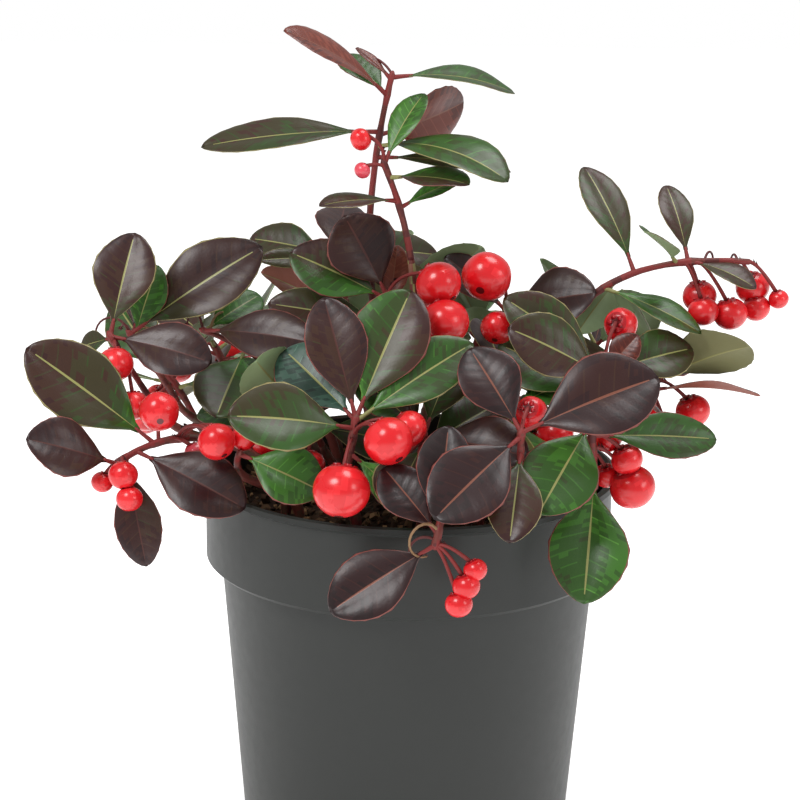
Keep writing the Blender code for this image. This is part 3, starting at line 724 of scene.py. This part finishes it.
VEIN_LIGHTER = 0.85
VEIN_REACH = 0.8
RIB_REACH = 0.93
GREEN_STALKS = 0.4

# The fine leaf: side veins, rows of faces between two of them, and where its columns of faces meet
VEINS = 7
ROWS_BETWEEN = 3
VEIN_WIDTH = 0.012
VEIN_SWEEP = 0.16
RIB_HALF = 0.03
EDGE_START = 0.97
HALF_COLUMNS = (RIB_HALF, 0.26, 0.50, 0.74, EDGE_START, 1.0)
COLUMNS = tuple(-u for u in reversed(HALF_COLUMNS)) + HALF_COLUMNS
BLADE_THICKNESS = 0.00019
RIB_DEPTH = 0.00016
QUILT = 0.00007
TOOTH = 0.022
EDGE_CURL = 0.10
WAVE = 0.05
WAVE_RATE = 7.5
WAVE_LAG = 1.4
STALK_STEPS = 6
STALK_SIDES = 8

# The fine berry: a dimple at its stalk, a dent where its flower was, and a star of sepals
BERRY_FINE_RINGS = 18
BERRY_FINE_SEGMENTS = 26
DIMPLE_DEPTH, DIMPLE_SPREAD = 0.20, 0.30
DENT_DEPTH, DENT_SPREAD = 0.05, 0.16
TOP_ROWS = ("berry_dark", "berry_dark", "berry_deep", "berry_deep")
BRIGHT_ABOVE = 0.14
SPECKS_PER_METRE = 260
TOP_SHARE, FOOT_SHARE = 0.78, 0.97
SEPALS = 5
SEPAL_POINTS = ((0.12, 0.80), (0.36, 0.90), (0.56, 0.86))
SEPAL_HALF_WIDTH, SEPAL_THICKNESS = 0.16, 0.05
LOBES = 5
LOBE_DEPTH = 0.018
PINK_SIZE = 0.0062
PINK_SHARE = 0.6
BERRY_STALK_STEPS = 9

# The bark: its ridges and swellings as shares of the radius, and twigs a little slimmer than their solids
BARK_RIDGE = 0.09
BARK_SWELL = 0.16
SWELL_REACH = 0.0016
TWIG_SLIMMER = 0.84
FINE_STEM_STATIONS = 22
FINE_STEM_SIDES = 12
FINE_TWIG_STATIONS = 16
FINE_TWIG_SIDES = 10
RIDGES_ROUND, RIDGES_ALONG = 900, 260
ROOTING = 0.003
TUCK = 0.001
BUD_LENGTH, BUD_SHARE = 0.0011, 0.35

# Dry flower stalks: shoot, place on its twig, heading, rise, length in mm, and the turn of its curl
SPENT_STALKS = (
    ("left_high", 1.0, 165, 70, 17, -190),
    ("left_high", 0.9, 20, 75, 12, -230),
    ("left_high", 0.95, 120, 55, 9, -120),
    ("middle_left", 0.9, 60, 80, 19, -210),
    ("middle_left", 1.0, 120, 75, 16, -170),
    ("over_rim", 0.7, -150, 60, 20, -260),
    ("over_rim", 0.9, 170, 30, 14, -180),
    ("front_right", 0.9, 100, 70, 16, -240),
    ("top", 1.0, 140, 50, 12, -60),
    ("right", 0.8, 60, 60, 12, -200),
    ("right", 0.95, 100, 50, 9, -160),
)
SPENT_STEPS = 14
SPENT_SIDES = 7
DRY_CURL = -200
# The points of its empty cup: turn from the stalk's heading, rise and reach
CUP = ((0, 60, 0.0012), (90, 20, 0.0009), (-90, 20, 0.0009))

# The pieces of leaves, each with its first shoot and the shoot after its last
LEAF_PIECES = (("leaves_front", 0, 8), ("leaves_high", 8, 16), ("leaves_round", 16, None))

# The peat, its crumbs, and the radii and heights of its sides
SOIL_RINGS = 24
SOIL_SEGMENTS = 80
SOIL_EDGE_GAP = 0.0004
CRUMB_EDGE_GAP = 0.002
# The peat's bumps, as height and number per metre, and how far its top sinks below the solid's
PEAT_BUMPS = ((0.0016, 150), (0.0009, 420))
PEAT_SINK = 0.0006
CRUMBS = 900
CRUMB_SIZES = (0.0006, 0.0008, 0.0011, 0.0016)
CRUMB_TINTS = ("peat_dark", "peat", "peat", "peat_light", "chip")
SOIL_STEP = 0.092
SOIL_WAIST = (0.0515, 0.084)
SOIL_FOOT_RADIUS = 0.0455

POT_FINE_SEGMENTS = 160
DRAIN_SEGMENTS = 24
POT_SHARP_ANGLE = 24

# The camera, in metres and degrees, as it stood for the photograph
CAMERA_PLACE = (0.0, -0.5536, 0.27375)
CAMERA_PITCH = 14.44
CAMERA_YAW = -0.29
CAMERA_ROLL = 0.64
LENS = 90.0

# The studio: the strengths of what the camera sees, of the light all round and of the floor, and the lamps
BACKDROP = 1.0
SURROUND = 0.5
FLOOR_GLOW = 0.6
FLOOR_HALF = 3.0
FLOOR_DROP = 0.0004
LIGHT_AIM = (0, 0, 0.13)
LAMPS = (
    ("key", (-0.55, -0.55, 0.95), 0.45, 6.5),
    ("top", (0.25, 0.1, 1.0), 0.5, 4),
    ("side", (0.9, -0.5, 0.5), 0.4, 1.6),
)


def linear(code):
    """A screen colour such as 3f4340 as linear red, green and blue."""
    values = [int(code[i:i + 2], 16) / 255 for i in (0, 2, 4)]
    return [v / 12.92 if v <= 0.04045 else ((v + 0.055) / 1.055) ** 2.4 for v in values]


@functools.cache
def material_of(tint):
    """The material of a tint: a name in OTHER_COLOURS, or a ramp's name and a step."""
    for kind, colours in OTHER_COLOURS.items():
        if tint in colours:
            return paint(tint, colours[tint], kind)
    ramp, step = tint.rsplit("_", 1)
    return paint(tint, LEAF_COLOURS[ramp][int(step)], "leaf")


def set_up(node, values):
    """Sets a node's inputs by their names."""
    for name, value in values.items():
        node.inputs[name].default_value = value
    return node


def node_material(name, values):
    """A new material, with its shader's inputs set."""
    made = bpy.data.materials.new(name)
    made.use_nodes = True
    return made, set_up(made.node_tree.nodes["Principled BSDF"], values)


def paint(name, code, kind):
    """A material of one plain colour, whose gloss and fine relief vary over the surface."""
    low, high, grain, depth, coat, specular = SURFACES[kind]
    made, shader = node_material(name, {
        "Base Color": (*linear(code), 1),
        "Coat Weight": coat,
        "Coat Roughness": COAT_ROUGHNESS,
        "Specular IOR Level": specular,
    })
    nodes, links = made.node_tree.nodes, made.node_tree.links
    place = nodes.new("ShaderNodeTexCoord")
    patches = set_up(nodes.new("ShaderNodeTexNoise"), {"Scale": grain / PATCH_SIZE_IN_GRAINS, "Detail": 3})
    fine = set_up(nodes.new("ShaderNodeTexNoise"), {"Scale": grain, "Detail": 4})
    gloss = set_up(nodes.new("ShaderNodeMapRange"), {"To Min": low, "To Max": high})
    bump = set_up(nodes.new("ShaderNodeBump"), {"Strength": BUMP_STRENGTH, "Distance": depth})
    links.new(place.outputs["Object"], patches.inputs["Vector"])
    links.new(patches.outputs["Fac"], gloss.inputs["Value"])
    links.new(gloss.outputs["Result"], shader.inputs["Roughness"])
    links.new(place.outputs["Object"], fine.inputs["Vector"])
    links.new(fine.outputs["Fac"], bump.inputs["Height"])
    links.new(bump.outputs["Normal"], shader.inputs["Normal"])
    return made


def mesh_object(name, points, faces):
    """A mesh object, not yet in the scene."""
    mesh = bpy.data.meshes.new(name)
    mesh.from_pydata([tuple(p) for p in points], [], faces)
    return bpy.data.objects.new(name, mesh)


def put_in_scene(obj):
    bpy.context.scene.collection.objects.link(obj)
    return obj


class Pile:
    """The faces of one joined piece, each with its tint."""

    def __init__(self, name):
        self.name = name
        self.points, self.faces, self.tints = [], [], []

    def add(self, points, faces, tints):
        start = len(self.points)
        self.points += points
        self.faces += [tuple(start + i for i in face) for face in faces]
        self.tints += [tints] * len(faces) if isinstance(tints, str) else tints

    def make(self, slot, nodes=()):
        """The piece as a smooth mesh that rides on the root and stands for CAD nodes."""
        piece = put_in_scene(mesh_object(self.name, self.points, self.faces))
        names = sorted(set(self.tints))
        for name in names:
            piece.data.materials.append(material_of(name))
        index = {name: i for i, name in enumerate(names)}
        piece.data.polygons.foreach_set("material_index", [index[tint] for tint in self.tints])
        piece.data.shade_smooth()
        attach(piece, "root")
        if nodes:
            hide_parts(*nodes)
        return piece


def blade_rows():
    """Shares along the blade where rows of faces meet, and which rows are veins."""
    shares, veins = [0.0], set()
    for k in range(1, VEINS + 2):
        low, high = (k - 1) / (VEINS + 1), k / (VEINS + 1)
        last = high if k > VEINS else high - VEIN_WIDTH
        shares += [low + (last - low) * (i + 1) / ROWS_BETWEEN for i in range(ROWS_BETWEEN)]
        if k <= VEINS:
            veins.add(len(shares) - 1)
            shares.append(high)
    return shares, veins


def blade_point(one, axes, root, t, u, above, phase):
    """A point of the fine blade: t along it, u across it, and 1 or -1 for its face or its back."""
    swept = min(1.0, t + VEIN_SWEEP * abs(u) * math.sin(math.pi * t))
    s = STALK_SHARE + (1 - STALK_SHARE) * swept
    centre, up = leaf_line(one, axes, root, s)
    half = half_width(one, s)
    between = (t * (VEINS + 1)) % 1.0
    at_vein = between > 0.9 or between < 0.05
    tooth = 1 + (TOOTH if at_vein else 0) * (abs(u) == 1.0)
    fold = math.radians(LEAF_FOLD)
    rise = half * (math.sin(fold) * abs(u) ** 0.85 - EDGE_CURL * u**4)
    rise += WAVE * half * abs(u) * math.sin(WAVE_RATE * t + phase + (WAVE_LAG if u > 0 else 0))
    quilt = QUILT * math.sin(math.pi * between) * (1 - u * u) * (abs(u) > 0.1)
    thick = BLADE_THICKNESS * math.sqrt(1 - u * u) + (RIB_DEPTH if above < 0 and abs(u) < 0.1 else 0)
    out = half * u * tooth * math.cos(fold)
    return centre + axes[1] * out + up * (rise + quilt + above * thick)


def ramp_tint(tint, value):
    steps = LEAF_COLOURS[tint.ramp]
    return f"{tint.ramp}_{max(0, min(len(steps) - 1, round(value)))}"


def face_tint(tint, place, t, u, is_vein, mood, rng):
    """The tint of a face on the leaf's upper side, t along it and u across it."""
    if abs(u) < RIB_HALF:
        return tint.rib if t < RIB_REACH else ramp_tint(tint, tint.left)
    if abs(u) > EDGE_START:
        return tint.edge
    share = (u + 1) / 2
    value = tint.left + (tint.right - tint.left) * share * share * (3 - 2 * share)
    value += tint.foot * (1 - t) ** 3 + tint.tip * t**3 + mood
    value += PATCH_STEPS * noise.noise(place * PATCHES_PER_METRE) + rng.uniform(-DITHER, DITHER)
    value += VEIN_LIGHTER * (is_vein and abs(u) < VEIN_REACH)
    return ramp_tint(tint, value)


def add_leaf(pile, one, root, rng):
    """A leaf with its stalk, midrib, arching side veins and fine toothed edge."""
    axes = leaf_axes(one)
    tint = TINTS[one.tint]
    phase = rng.uniform(0, 6.28)
    mood = rng.uniform(-MOOD, MOOD)
    shares, veins = blade_rows()
    rows = len(shares) - 1
    across = len(COLUMNS)
    ring = 2 * across - 2
    under_rib = across - 1 + (across - 1) // 2
    points, tints = [], []
    for t in shares[:-1]:
        points += [blade_point(one, axes, root, t, u, 1, phase) for u in COLUMNS]
        points += [blade_point(one, axes, root, t, u, -1, phase) for u in reversed(COLUMNS[1:-1])]
    tip = len(points)
    points.append(leaf_line(one, axes, root, 1)[0])
    faces = wall(rows, ring) + [(tip - ring + k, tip - ring + (k + 1) % ring, tip) for k in range(ring)]
    for i in range(rows):
        t = (shares[i] + shares[i + 1]) / 2
        for k in range(across - 1):
            u = (COLUMNS[k] + COLUMNS[k + 1]) / 2
            tints.append(face_tint(tint, points[i * ring + k], t, u, i in veins, mood, rng))
        tints += ["rib_pale" if k == under_rib else tint.under for k in range(across - 1, ring)]
    faces.append(tuple(reversed(range(ring))))
    tints.append(tint.under)
    pile.add(points, faces, tints)
    steps = STALK_STEPS
    path = [leaf_line(one, axes, root, 1.25 * STALK_SHARE * i / steps)[0] for i in range(steps + 1)]
    radii = [STALK_RADIUS * (1.05 - 0.35 * i / steps) for i in range(steps + 1)]
    pale = "green" in one.tint and rng.random() < GREEN_STALKS
    pile.add(*tube(path, radii, STALK_SIDES), "stalk_green" if pale else "stalk_red")


def berry_tint(row, place, pink, rng):
    """The tint of a berry's face in a row counted from its stalk."""
    if row < len(TOP_ROWS):
        return TOP_ROWS[row]
    if row == BERRY_FINE_RINGS - 1:
        return "berry_dark"
    if pink:
        return "berry_pink"
    value = noise.noise(place * SPECKS_PER_METRE) + rng.uniform(-0.12, 0.12)
    return "berry_bright" if value > BRIGHT_ABOVE else "berry_red"


def add_berry(pile, one, root, rng):
    """A berry with a dimple round its stalk, and the dent that its flower left."""
    middle, axis = berry_middle(one, root), berry_axis(one, root)
    side = axis.orthogonal().normalized()
    other = axis.cross(side)
    radius = one.size / 2
    rings, segments = BERRY_FINE_RINGS, BERRY_FINE_SEGMENTS
    pink = one.size < PINK_SIZE and rng.random() < PINK_SHARE
    points = [middle + axis * radius * BERRY_SQUASH * TOP_SHARE]
    for i in range(1, rings):
        polar = math.pi * i / rings
        dimple = 1 - DIMPLE_DEPTH * math.exp(-((polar / DIMPLE_SPREAD) ** 2))
        dimple -= DENT_DEPTH * math.exp(-(((math.pi - polar) / DENT_SPREAD) ** 2))
        for k in range(segments):
            a = 2 * math.pi * k / segments
            lobes = 1 + LOBE_DEPTH * math.sin(LOBES * a) * math.sin(polar) ** 2
            flat = math.cos(a) * side + math.sin(a) * other
            height = BERRY_SQUASH * math.cos(polar) * dimple
            points.append(middle + radius * (math.sin(polar) * lobes * dimple**0.3 * flat + height * axis))
    points.append(middle - axis * radius * BERRY_SQUASH * FOOT_SHARE)
    faces = ball_faces(rings, segments)
    tints = [berry_tint(i % rings, points[face[0]], pink, rng) for i, face in enumerate(faces)]
    pile.add(points, faces, tints)
    add_sepals(pile, middle, axis, side, radius)


def add_sepals(pile, middle, axis, side, radius):
    """A star of small pointed sepals on top of a berry."""
    other = axis.cross(side)
    for k in range(SEPALS):
        flat = around(side, other, k + 0.5, SEPALS)
        across = axis.cross(flat) * SEPAL_HALF_WIDTH * radius
        base, mid, end = (
            middle + radius * (out * flat + up * BERRY_SQUASH * axis)
            for out, up in SEPAL_POINTS
        )
        lift = axis * SEPAL_THICKNESS * radius
        wide = [base - across, base + across, mid + across + lift, mid - across + lift]
        faces = [(0, 1, 2, 3), (3, 2, 4), (0, 3, 5), (3, 4, 5), (4, 2, 5), (2, 1, 5), (1, 0, 5)]
        pile.add(wide + [end + lift, mid - lift * 2], faces, "berry_deep")


def add_berry_stalk(pile, one, root):
    """The curved stalk of a berry, with two small bracts near its root."""
    axis = berry_axis(one, root)
    top = berry_middle(one, root) + axis * one.size / 2 * BERRY_SQUASH * 0.8
    knee = (root + top) / 2 + axis * 0.16 * one.reach
    steps = BERRY_STALK_STEPS
    path = [on_curve(root, knee, top, i / steps) for i in range(steps + 1)]
    radii = [BERRY_STALK_RADIUS * (0.95 + 0.25 * abs(2 * i / steps - 1)) for i in range(steps + 1)]
    pile.add(*tube(path, radii, STALK_SIDES), "stalk_red")
    for i in (2, 3):
        ahead = path[i + 2] - path[i]
        bract = [
            path[i],
            path[i] + Vector((0, 0, 0.0011)) + axis * 0.0004,
            path[i] + ahead * 0.9,
            path[i] + axis * 0.0012 + ahead * 0.5,
        ]
        pile.add(bract, [(0, 1, 3), (1, 2, 3), (2, 0, 3), (0, 2, 1)], "stalk_dark")


def rough_tube(pile, path, radii, sides, tints, swell, *ends):
    """A tube with the bark's relief: small ridges, and swellings where leaves were or are."""
    points, faces = tube(path, radii, sides, *ends)
    for i, centre in enumerate(path):
        bulge = sum(BARK_SWELL * math.exp(-(((centre - at).length / SWELL_REACH) ** 2)) for at in swell)
        for k in range(i * sides, (i + 1) * sides):
            at = points[k]
            grain = Vector((at.x * RIDGES_ROUND, at.y * RIDGES_ROUND, at.z * RIDGES_ALONG))
            ridge = BARK_RIDGE * noise.noise(grain)
            points[k] = centre + (at - centre) * (1 + bulge + ridge)
    chosen = []
    for face in faces:
        value = noise.noise(points[face[0]] * 240) + 0.5 * noise.noise(points[face[0]] * 900)
        chosen.append(tints[0] if value > 0.08 else tints[1] if value > -0.25 else tints[2])
    pile.add(points, faces, chosen)


def add_stem(pile, plant):
    """The stem, from just inside the soil to just inside its twig, with the scars of old leaves."""
    path = [plant.foot - Vector((0, 0, ROOTING))]
    path += stem_path(plant, FINE_STEM_STATIONS)
    path.append(plant.joint + twig_start(plant) * TUCK)
    radii = stem_radii(STEM_TIP_RADIUS * TWIG_SLIMMER, len(path) - 1)
    tints = ("bark_red", "bark_brown", "stalk_dark")
    if plant.name == "second":
        tints = ("bark_pale", "stalk_green", "bark_red")
    scars = [path[i] for i in range(4, len(path) - 1, 5)]
    rough_tube(pile, path, radii, FINE_STEM_SIDES, tints, scars, Vector((0, 0, 1)), twig_start(plant))


def add_twig(pile, plant, leaves, berries):
    """The twig, swollen where each stalk leaves it, with a small bud at its end."""
    steps = FINE_TWIG_STATIONS - 1
    path = [on_twig(plant, i / steps) for i in range(steps + 1)]
    radii = twig_radii(TWIG_SLIMMER * STEM_TIP_RADIUS, steps)
    path.append(path[-1] + (path[-1] - path[-2]).normalized() * BUD_LENGTH)
    radii.append(radii[-1] * BUD_SHARE)
    swell = [root for _, root in leaves + berries]
    tints = ("stalk_red", "bark_red", "stalk_dark")
    rough_tube(pile, path, radii, FINE_TWIG_SIDES, tints, swell, twig_start(plant))


def add_spent_stalk(pile, start, heading, rise, length, curl):
    """A dry flower stalk that curls over, with the empty cup at its end."""
    path = [start]
    for i in range(SPENT_STEPS):
        path.append(path[-1] + direction(heading, rise + curl * i / SPENT_STEPS) * length / SPENT_STEPS)
    radii = [0.00042 - 0.00016 * i / SPENT_STEPS for i in range(SPENT_STEPS + 1)]
    pile.add(*tube(path, radii, SPENT_SIDES), "dry" if curl < DRY_CURL else "stalk_dark")
    cup = [path[-1]] + [path[-1] + direction(heading + turn, up) * reach for turn, up, reach in CUP]
    pile.add(cup, [(0, 2, 1), (0, 1, 3), (1, 2, 3), (0, 3, 2)], "stalk_dark")


def add_peat(pile, rng, edge, foot):
    """The body of the soil, with a crumbly top."""
    rings, segments = SOIL_RINGS, SOIL_SEGMENTS
    points = [Vector((0, 0, SOIL_TOP))]
    for i in range(1, rings + 1):
        for k in range(segments):
            at = spot(edge * i / rings, k, segments, 0)
            lift = sum(height * noise.noise(at * rate) for height, rate in PEAT_BUMPS) - PEAT_SINK
            points.append(Vector((at.x, at.y, SOIL_TOP + lift)))
    for radius, height in ((edge, SOIL_STEP), SOIL_WAIST, (SOIL_FOOT_RADIUS, foot)):
        points += [spot(radius, k, segments, height) for k in range(segments)]
    faces = [(0, 1 + k, 1 + (k + 1) % segments) for k in range(segments)]
    faces += [(1 + a, 1 + d, 1 + c, 1 + b) for a, b, c, d in wall(rings + 3, segments)]
    last = 1 + (rings + 2) * segments
    faces.append(tuple(last + k for k in reversed(range(segments))))
    tints = []
    for face in faces:
        value = noise.noise(points[face[0]] * 500) + rng.uniform(-0.4, 0.4)
        tints.append("peat_dark" if value < 0.1 else "peat" if value < 0.42 else "peat_light")
    pile.add(points, faces, tints)


def add_crumb(pile, rng, number, edge):
    """One crumb of peat or chip of bark, spread over the top by the golden angle."""
    r = (edge - CRUMB_EDGE_GAP) * math.sqrt(rng.random())
    a = math.pi * (3 - math.sqrt(5)) * number
    size = rng.choice(CRUMB_SIZES)
    centre = Vector((r * math.cos(a), r * math.sin(a), SOIL_TOP + size * 0.4))
    turn = Matrix.Rotation(rng.uniform(0, 6.28), 3, direction(rng.uniform(0, 360), rng.uniform(-90, 90)))
    stretch = rng.uniform(0.8, 2.2)
    corners = []
    for x, y, z in itertools.product((-1, 1), repeat=3):
        corners.append(centre + turn @ (Vector((x * stretch, y, z * 0.8)) * size * rng.uniform(0.35, 0.65)))
    sides = [(0, 1, 3, 2), (4, 6, 7, 5), (0, 4, 5, 1), (2, 3, 7, 6), (0, 2, 6, 4), (1, 5, 7, 3)]
    pile.add(corners, sides, rng.choice(CRUMB_TINTS))


def make_soil():
    """The peat in the pot, with crumbs and chips of bark lying on it."""
    rng = random.Random(5)
    pile = Pile("soil_crumbs")
    low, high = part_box("soil")
    edge = high.x - SOIL_EDGE_GAP
    add_peat(pile, rng, edge, low.z)
    for number in range(CRUMBS):
        add_crumb(pile, rng, number, edge)
    soil = pile.make("soil_peat", ["soil"])
    soil.data.shade_flat()


def make_plant():
    """Every piece of the plant, from the rule that also makes its solids."""
    plants = FRONT_SHOOTS + tuple(grown_shoot(*row) for row in GROWN_SHOOTS)
    grown = grow(plants, [tree_of(stem_solid(plant)) for plant in plants])
    stems, twigs, berries = Pile("stems"), Pile("twigs"), Pile("berries")
    for name, low, high in LEAF_PIECES:
        pile = Pile(name)
        for number in range(len(plants))[low:high]:
            rng = random.Random(100 + number)
            for one, root in grown[number][0]:
                add_leaf(pile, one, root, rng)
        pile.make("leaf_foliage", ["foliage_" + plant.name for plant in plants[low:high]])
    for number, plant in enumerate(plants):
        rng = random.Random(300 + number)
        leaves, fruit = grown[number]
        add_stem(stems, plant)
        add_twig(twigs, plant, leaves, fruit)
        for one, root in fruit:
            add_berry_stalk(twigs, one, root)
            add_berry(berries, one, root, rng)
    by_name = {plant.name: plant for plant in plants}
    for name, at, heading, rise, length, curl in SPENT_STALKS:
        add_spent_stalk(twigs, on_twig(by_name[name], at), heading, rise, length * MM, curl)
    stems.make("stem_bark", ["stem_" + plant.name for plant in plants])
    twigs.make("stem_bark")
    berries.make("leaf_foliage")


def make_pot():
    """The pot, turned round and smooth, with the drain holes of its solid."""
    pile = Pile("pot_smooth")
    pile.add(*turned(pot_profile(), POT_FINE_SEGMENTS), "pot")
    pot = pile.make("pot_plastic", ["pot"])
    holes = bpy.data.collections.new("drain_holes")
    bpy.context.scene.collection.children.link(holes)
    profile = [(0, -POT_WALL), (DRAIN_RADIUS, -POT_WALL), (DRAIN_RADIUS, 2 * POT_WALL), (0, 2 * POT_WALL)]
    for i in range(DRAIN_HOLES):
        cutter = mesh_object("drain_hole", *turned(profile, DRAIN_SEGMENTS))
        cutter.location = spot(DRAIN_RING_RADIUS, i + 0.5, DRAIN_HOLES, 0)
        holes.objects.link(cutter)
    cut = pot.modifiers.new("Drain holes", "BOOLEAN")
    cut.operand_type = "COLLECTION"
    cut.collection = holes
    bpy.context.view_layer.update()
    whole = bpy.data.meshes.new_from_object(pot.evaluated_get(bpy.context.evaluated_depsgraph_get()))
    pot.modifiers.remove(cut)
    pot.data = whole
    pot.data.shade_smooth()
    pot.data.set_sharp_from_angle(angle=math.radians(POT_SHARP_ANGLE))
    for cutter in list(holes.objects):
        bpy.data.objects.remove(cutter)
    bpy.data.collections.remove(holes)


def make_camera():
    camera = put_in_scene(bpy.data.objects.new("camera", bpy.data.cameras.new("camera")))
    camera.data.lens = LENS
    pitch, yaw, roll = (math.radians(v) for v in (CAMERA_PITCH, CAMERA_YAW, CAMERA_ROLL))
    ahead = Vector((math.sin(yaw) * math.cos(pitch), math.cos(yaw) * math.cos(pitch), -math.sin(pitch)))
    right = ahead.cross(Vector((0, 0, 1))).normalized()
    up = right.cross(ahead)
    across = math.cos(roll) * right + math.sin(roll) * up
    above = -math.sin(roll) * right + math.cos(roll) * up
    turn = Matrix((across, above, -ahead)).transposed().to_4x4()
    camera.matrix_world = Matrix.Translation(CAMERA_PLACE) @ turn
    bpy.context.scene.camera = camera


def make_lamp(name, place, size, power):
    lamp = bpy.data.lights.new(name, "AREA")
    lamp.shape = "DISK"
    lamp.size = size
    lamp.energy = power
    light = put_in_scene(bpy.data.objects.new(name, lamp))
    light.location = place
    light.rotation_euler = (Vector(LIGHT_AIM) - Vector(place)).to_track_quat("-Z", "Y").to_euler()


def make_floor():
    h = FLOOR_HALF
    corners = [(-h, -h, 0), (h, -h, 0), (h, h, 0), (-h, h, 0)]
    floor = put_in_scene(mesh_object("floor", corners, [(0, 1, 2, 3)]))
    floor.location.z = -FLOOR_DROP
    white, _ = node_material("floor_white", {
        "Base Color": (0.92, 0.92, 0.92, 1),
        "Roughness": 0.9,
        "Emission Color": (1, 1, 1, 1),
        "Emission Strength": FLOOR_GLOW,
    })
    floor.data.materials.append(white)


def make_studio():
    """A white floor and a white surround, with soft lamps above and to the sides."""
    make_floor()
    world = bpy.data.worlds.new("surround")
    world.use_nodes = True
    nodes, links = world.node_tree.nodes, world.node_tree.links
    seen = set_up(nodes["Background"], {"Color": (1, 1, 1, 1), "Strength": BACKDROP})
    lighting = set_up(nodes.new("ShaderNodeBackground"), {"Color": (1, 1, 1, 1), "Strength": SURROUND})
    path, mix = nodes.new("ShaderNodeLightPath"), nodes.new("ShaderNodeMixShader")
    links.new(path.outputs["Is Camera Ray"], mix.inputs["Fac"])
    links.new(lighting.outputs["Background"], mix.inputs[1])
    links.new(seen.outputs["Background"], mix.inputs[2])
    links.new(mix.outputs["Shader"], nodes["World Output"].inputs["Surface"])
    bpy.context.scene.world = world
    for lamp in LAMPS:
        make_lamp(*lamp)
    bpy.context.scene.view_settings.view_transform = "Standard"


make_pot()
make_soil()
make_plant()
make_studio()
make_camera()
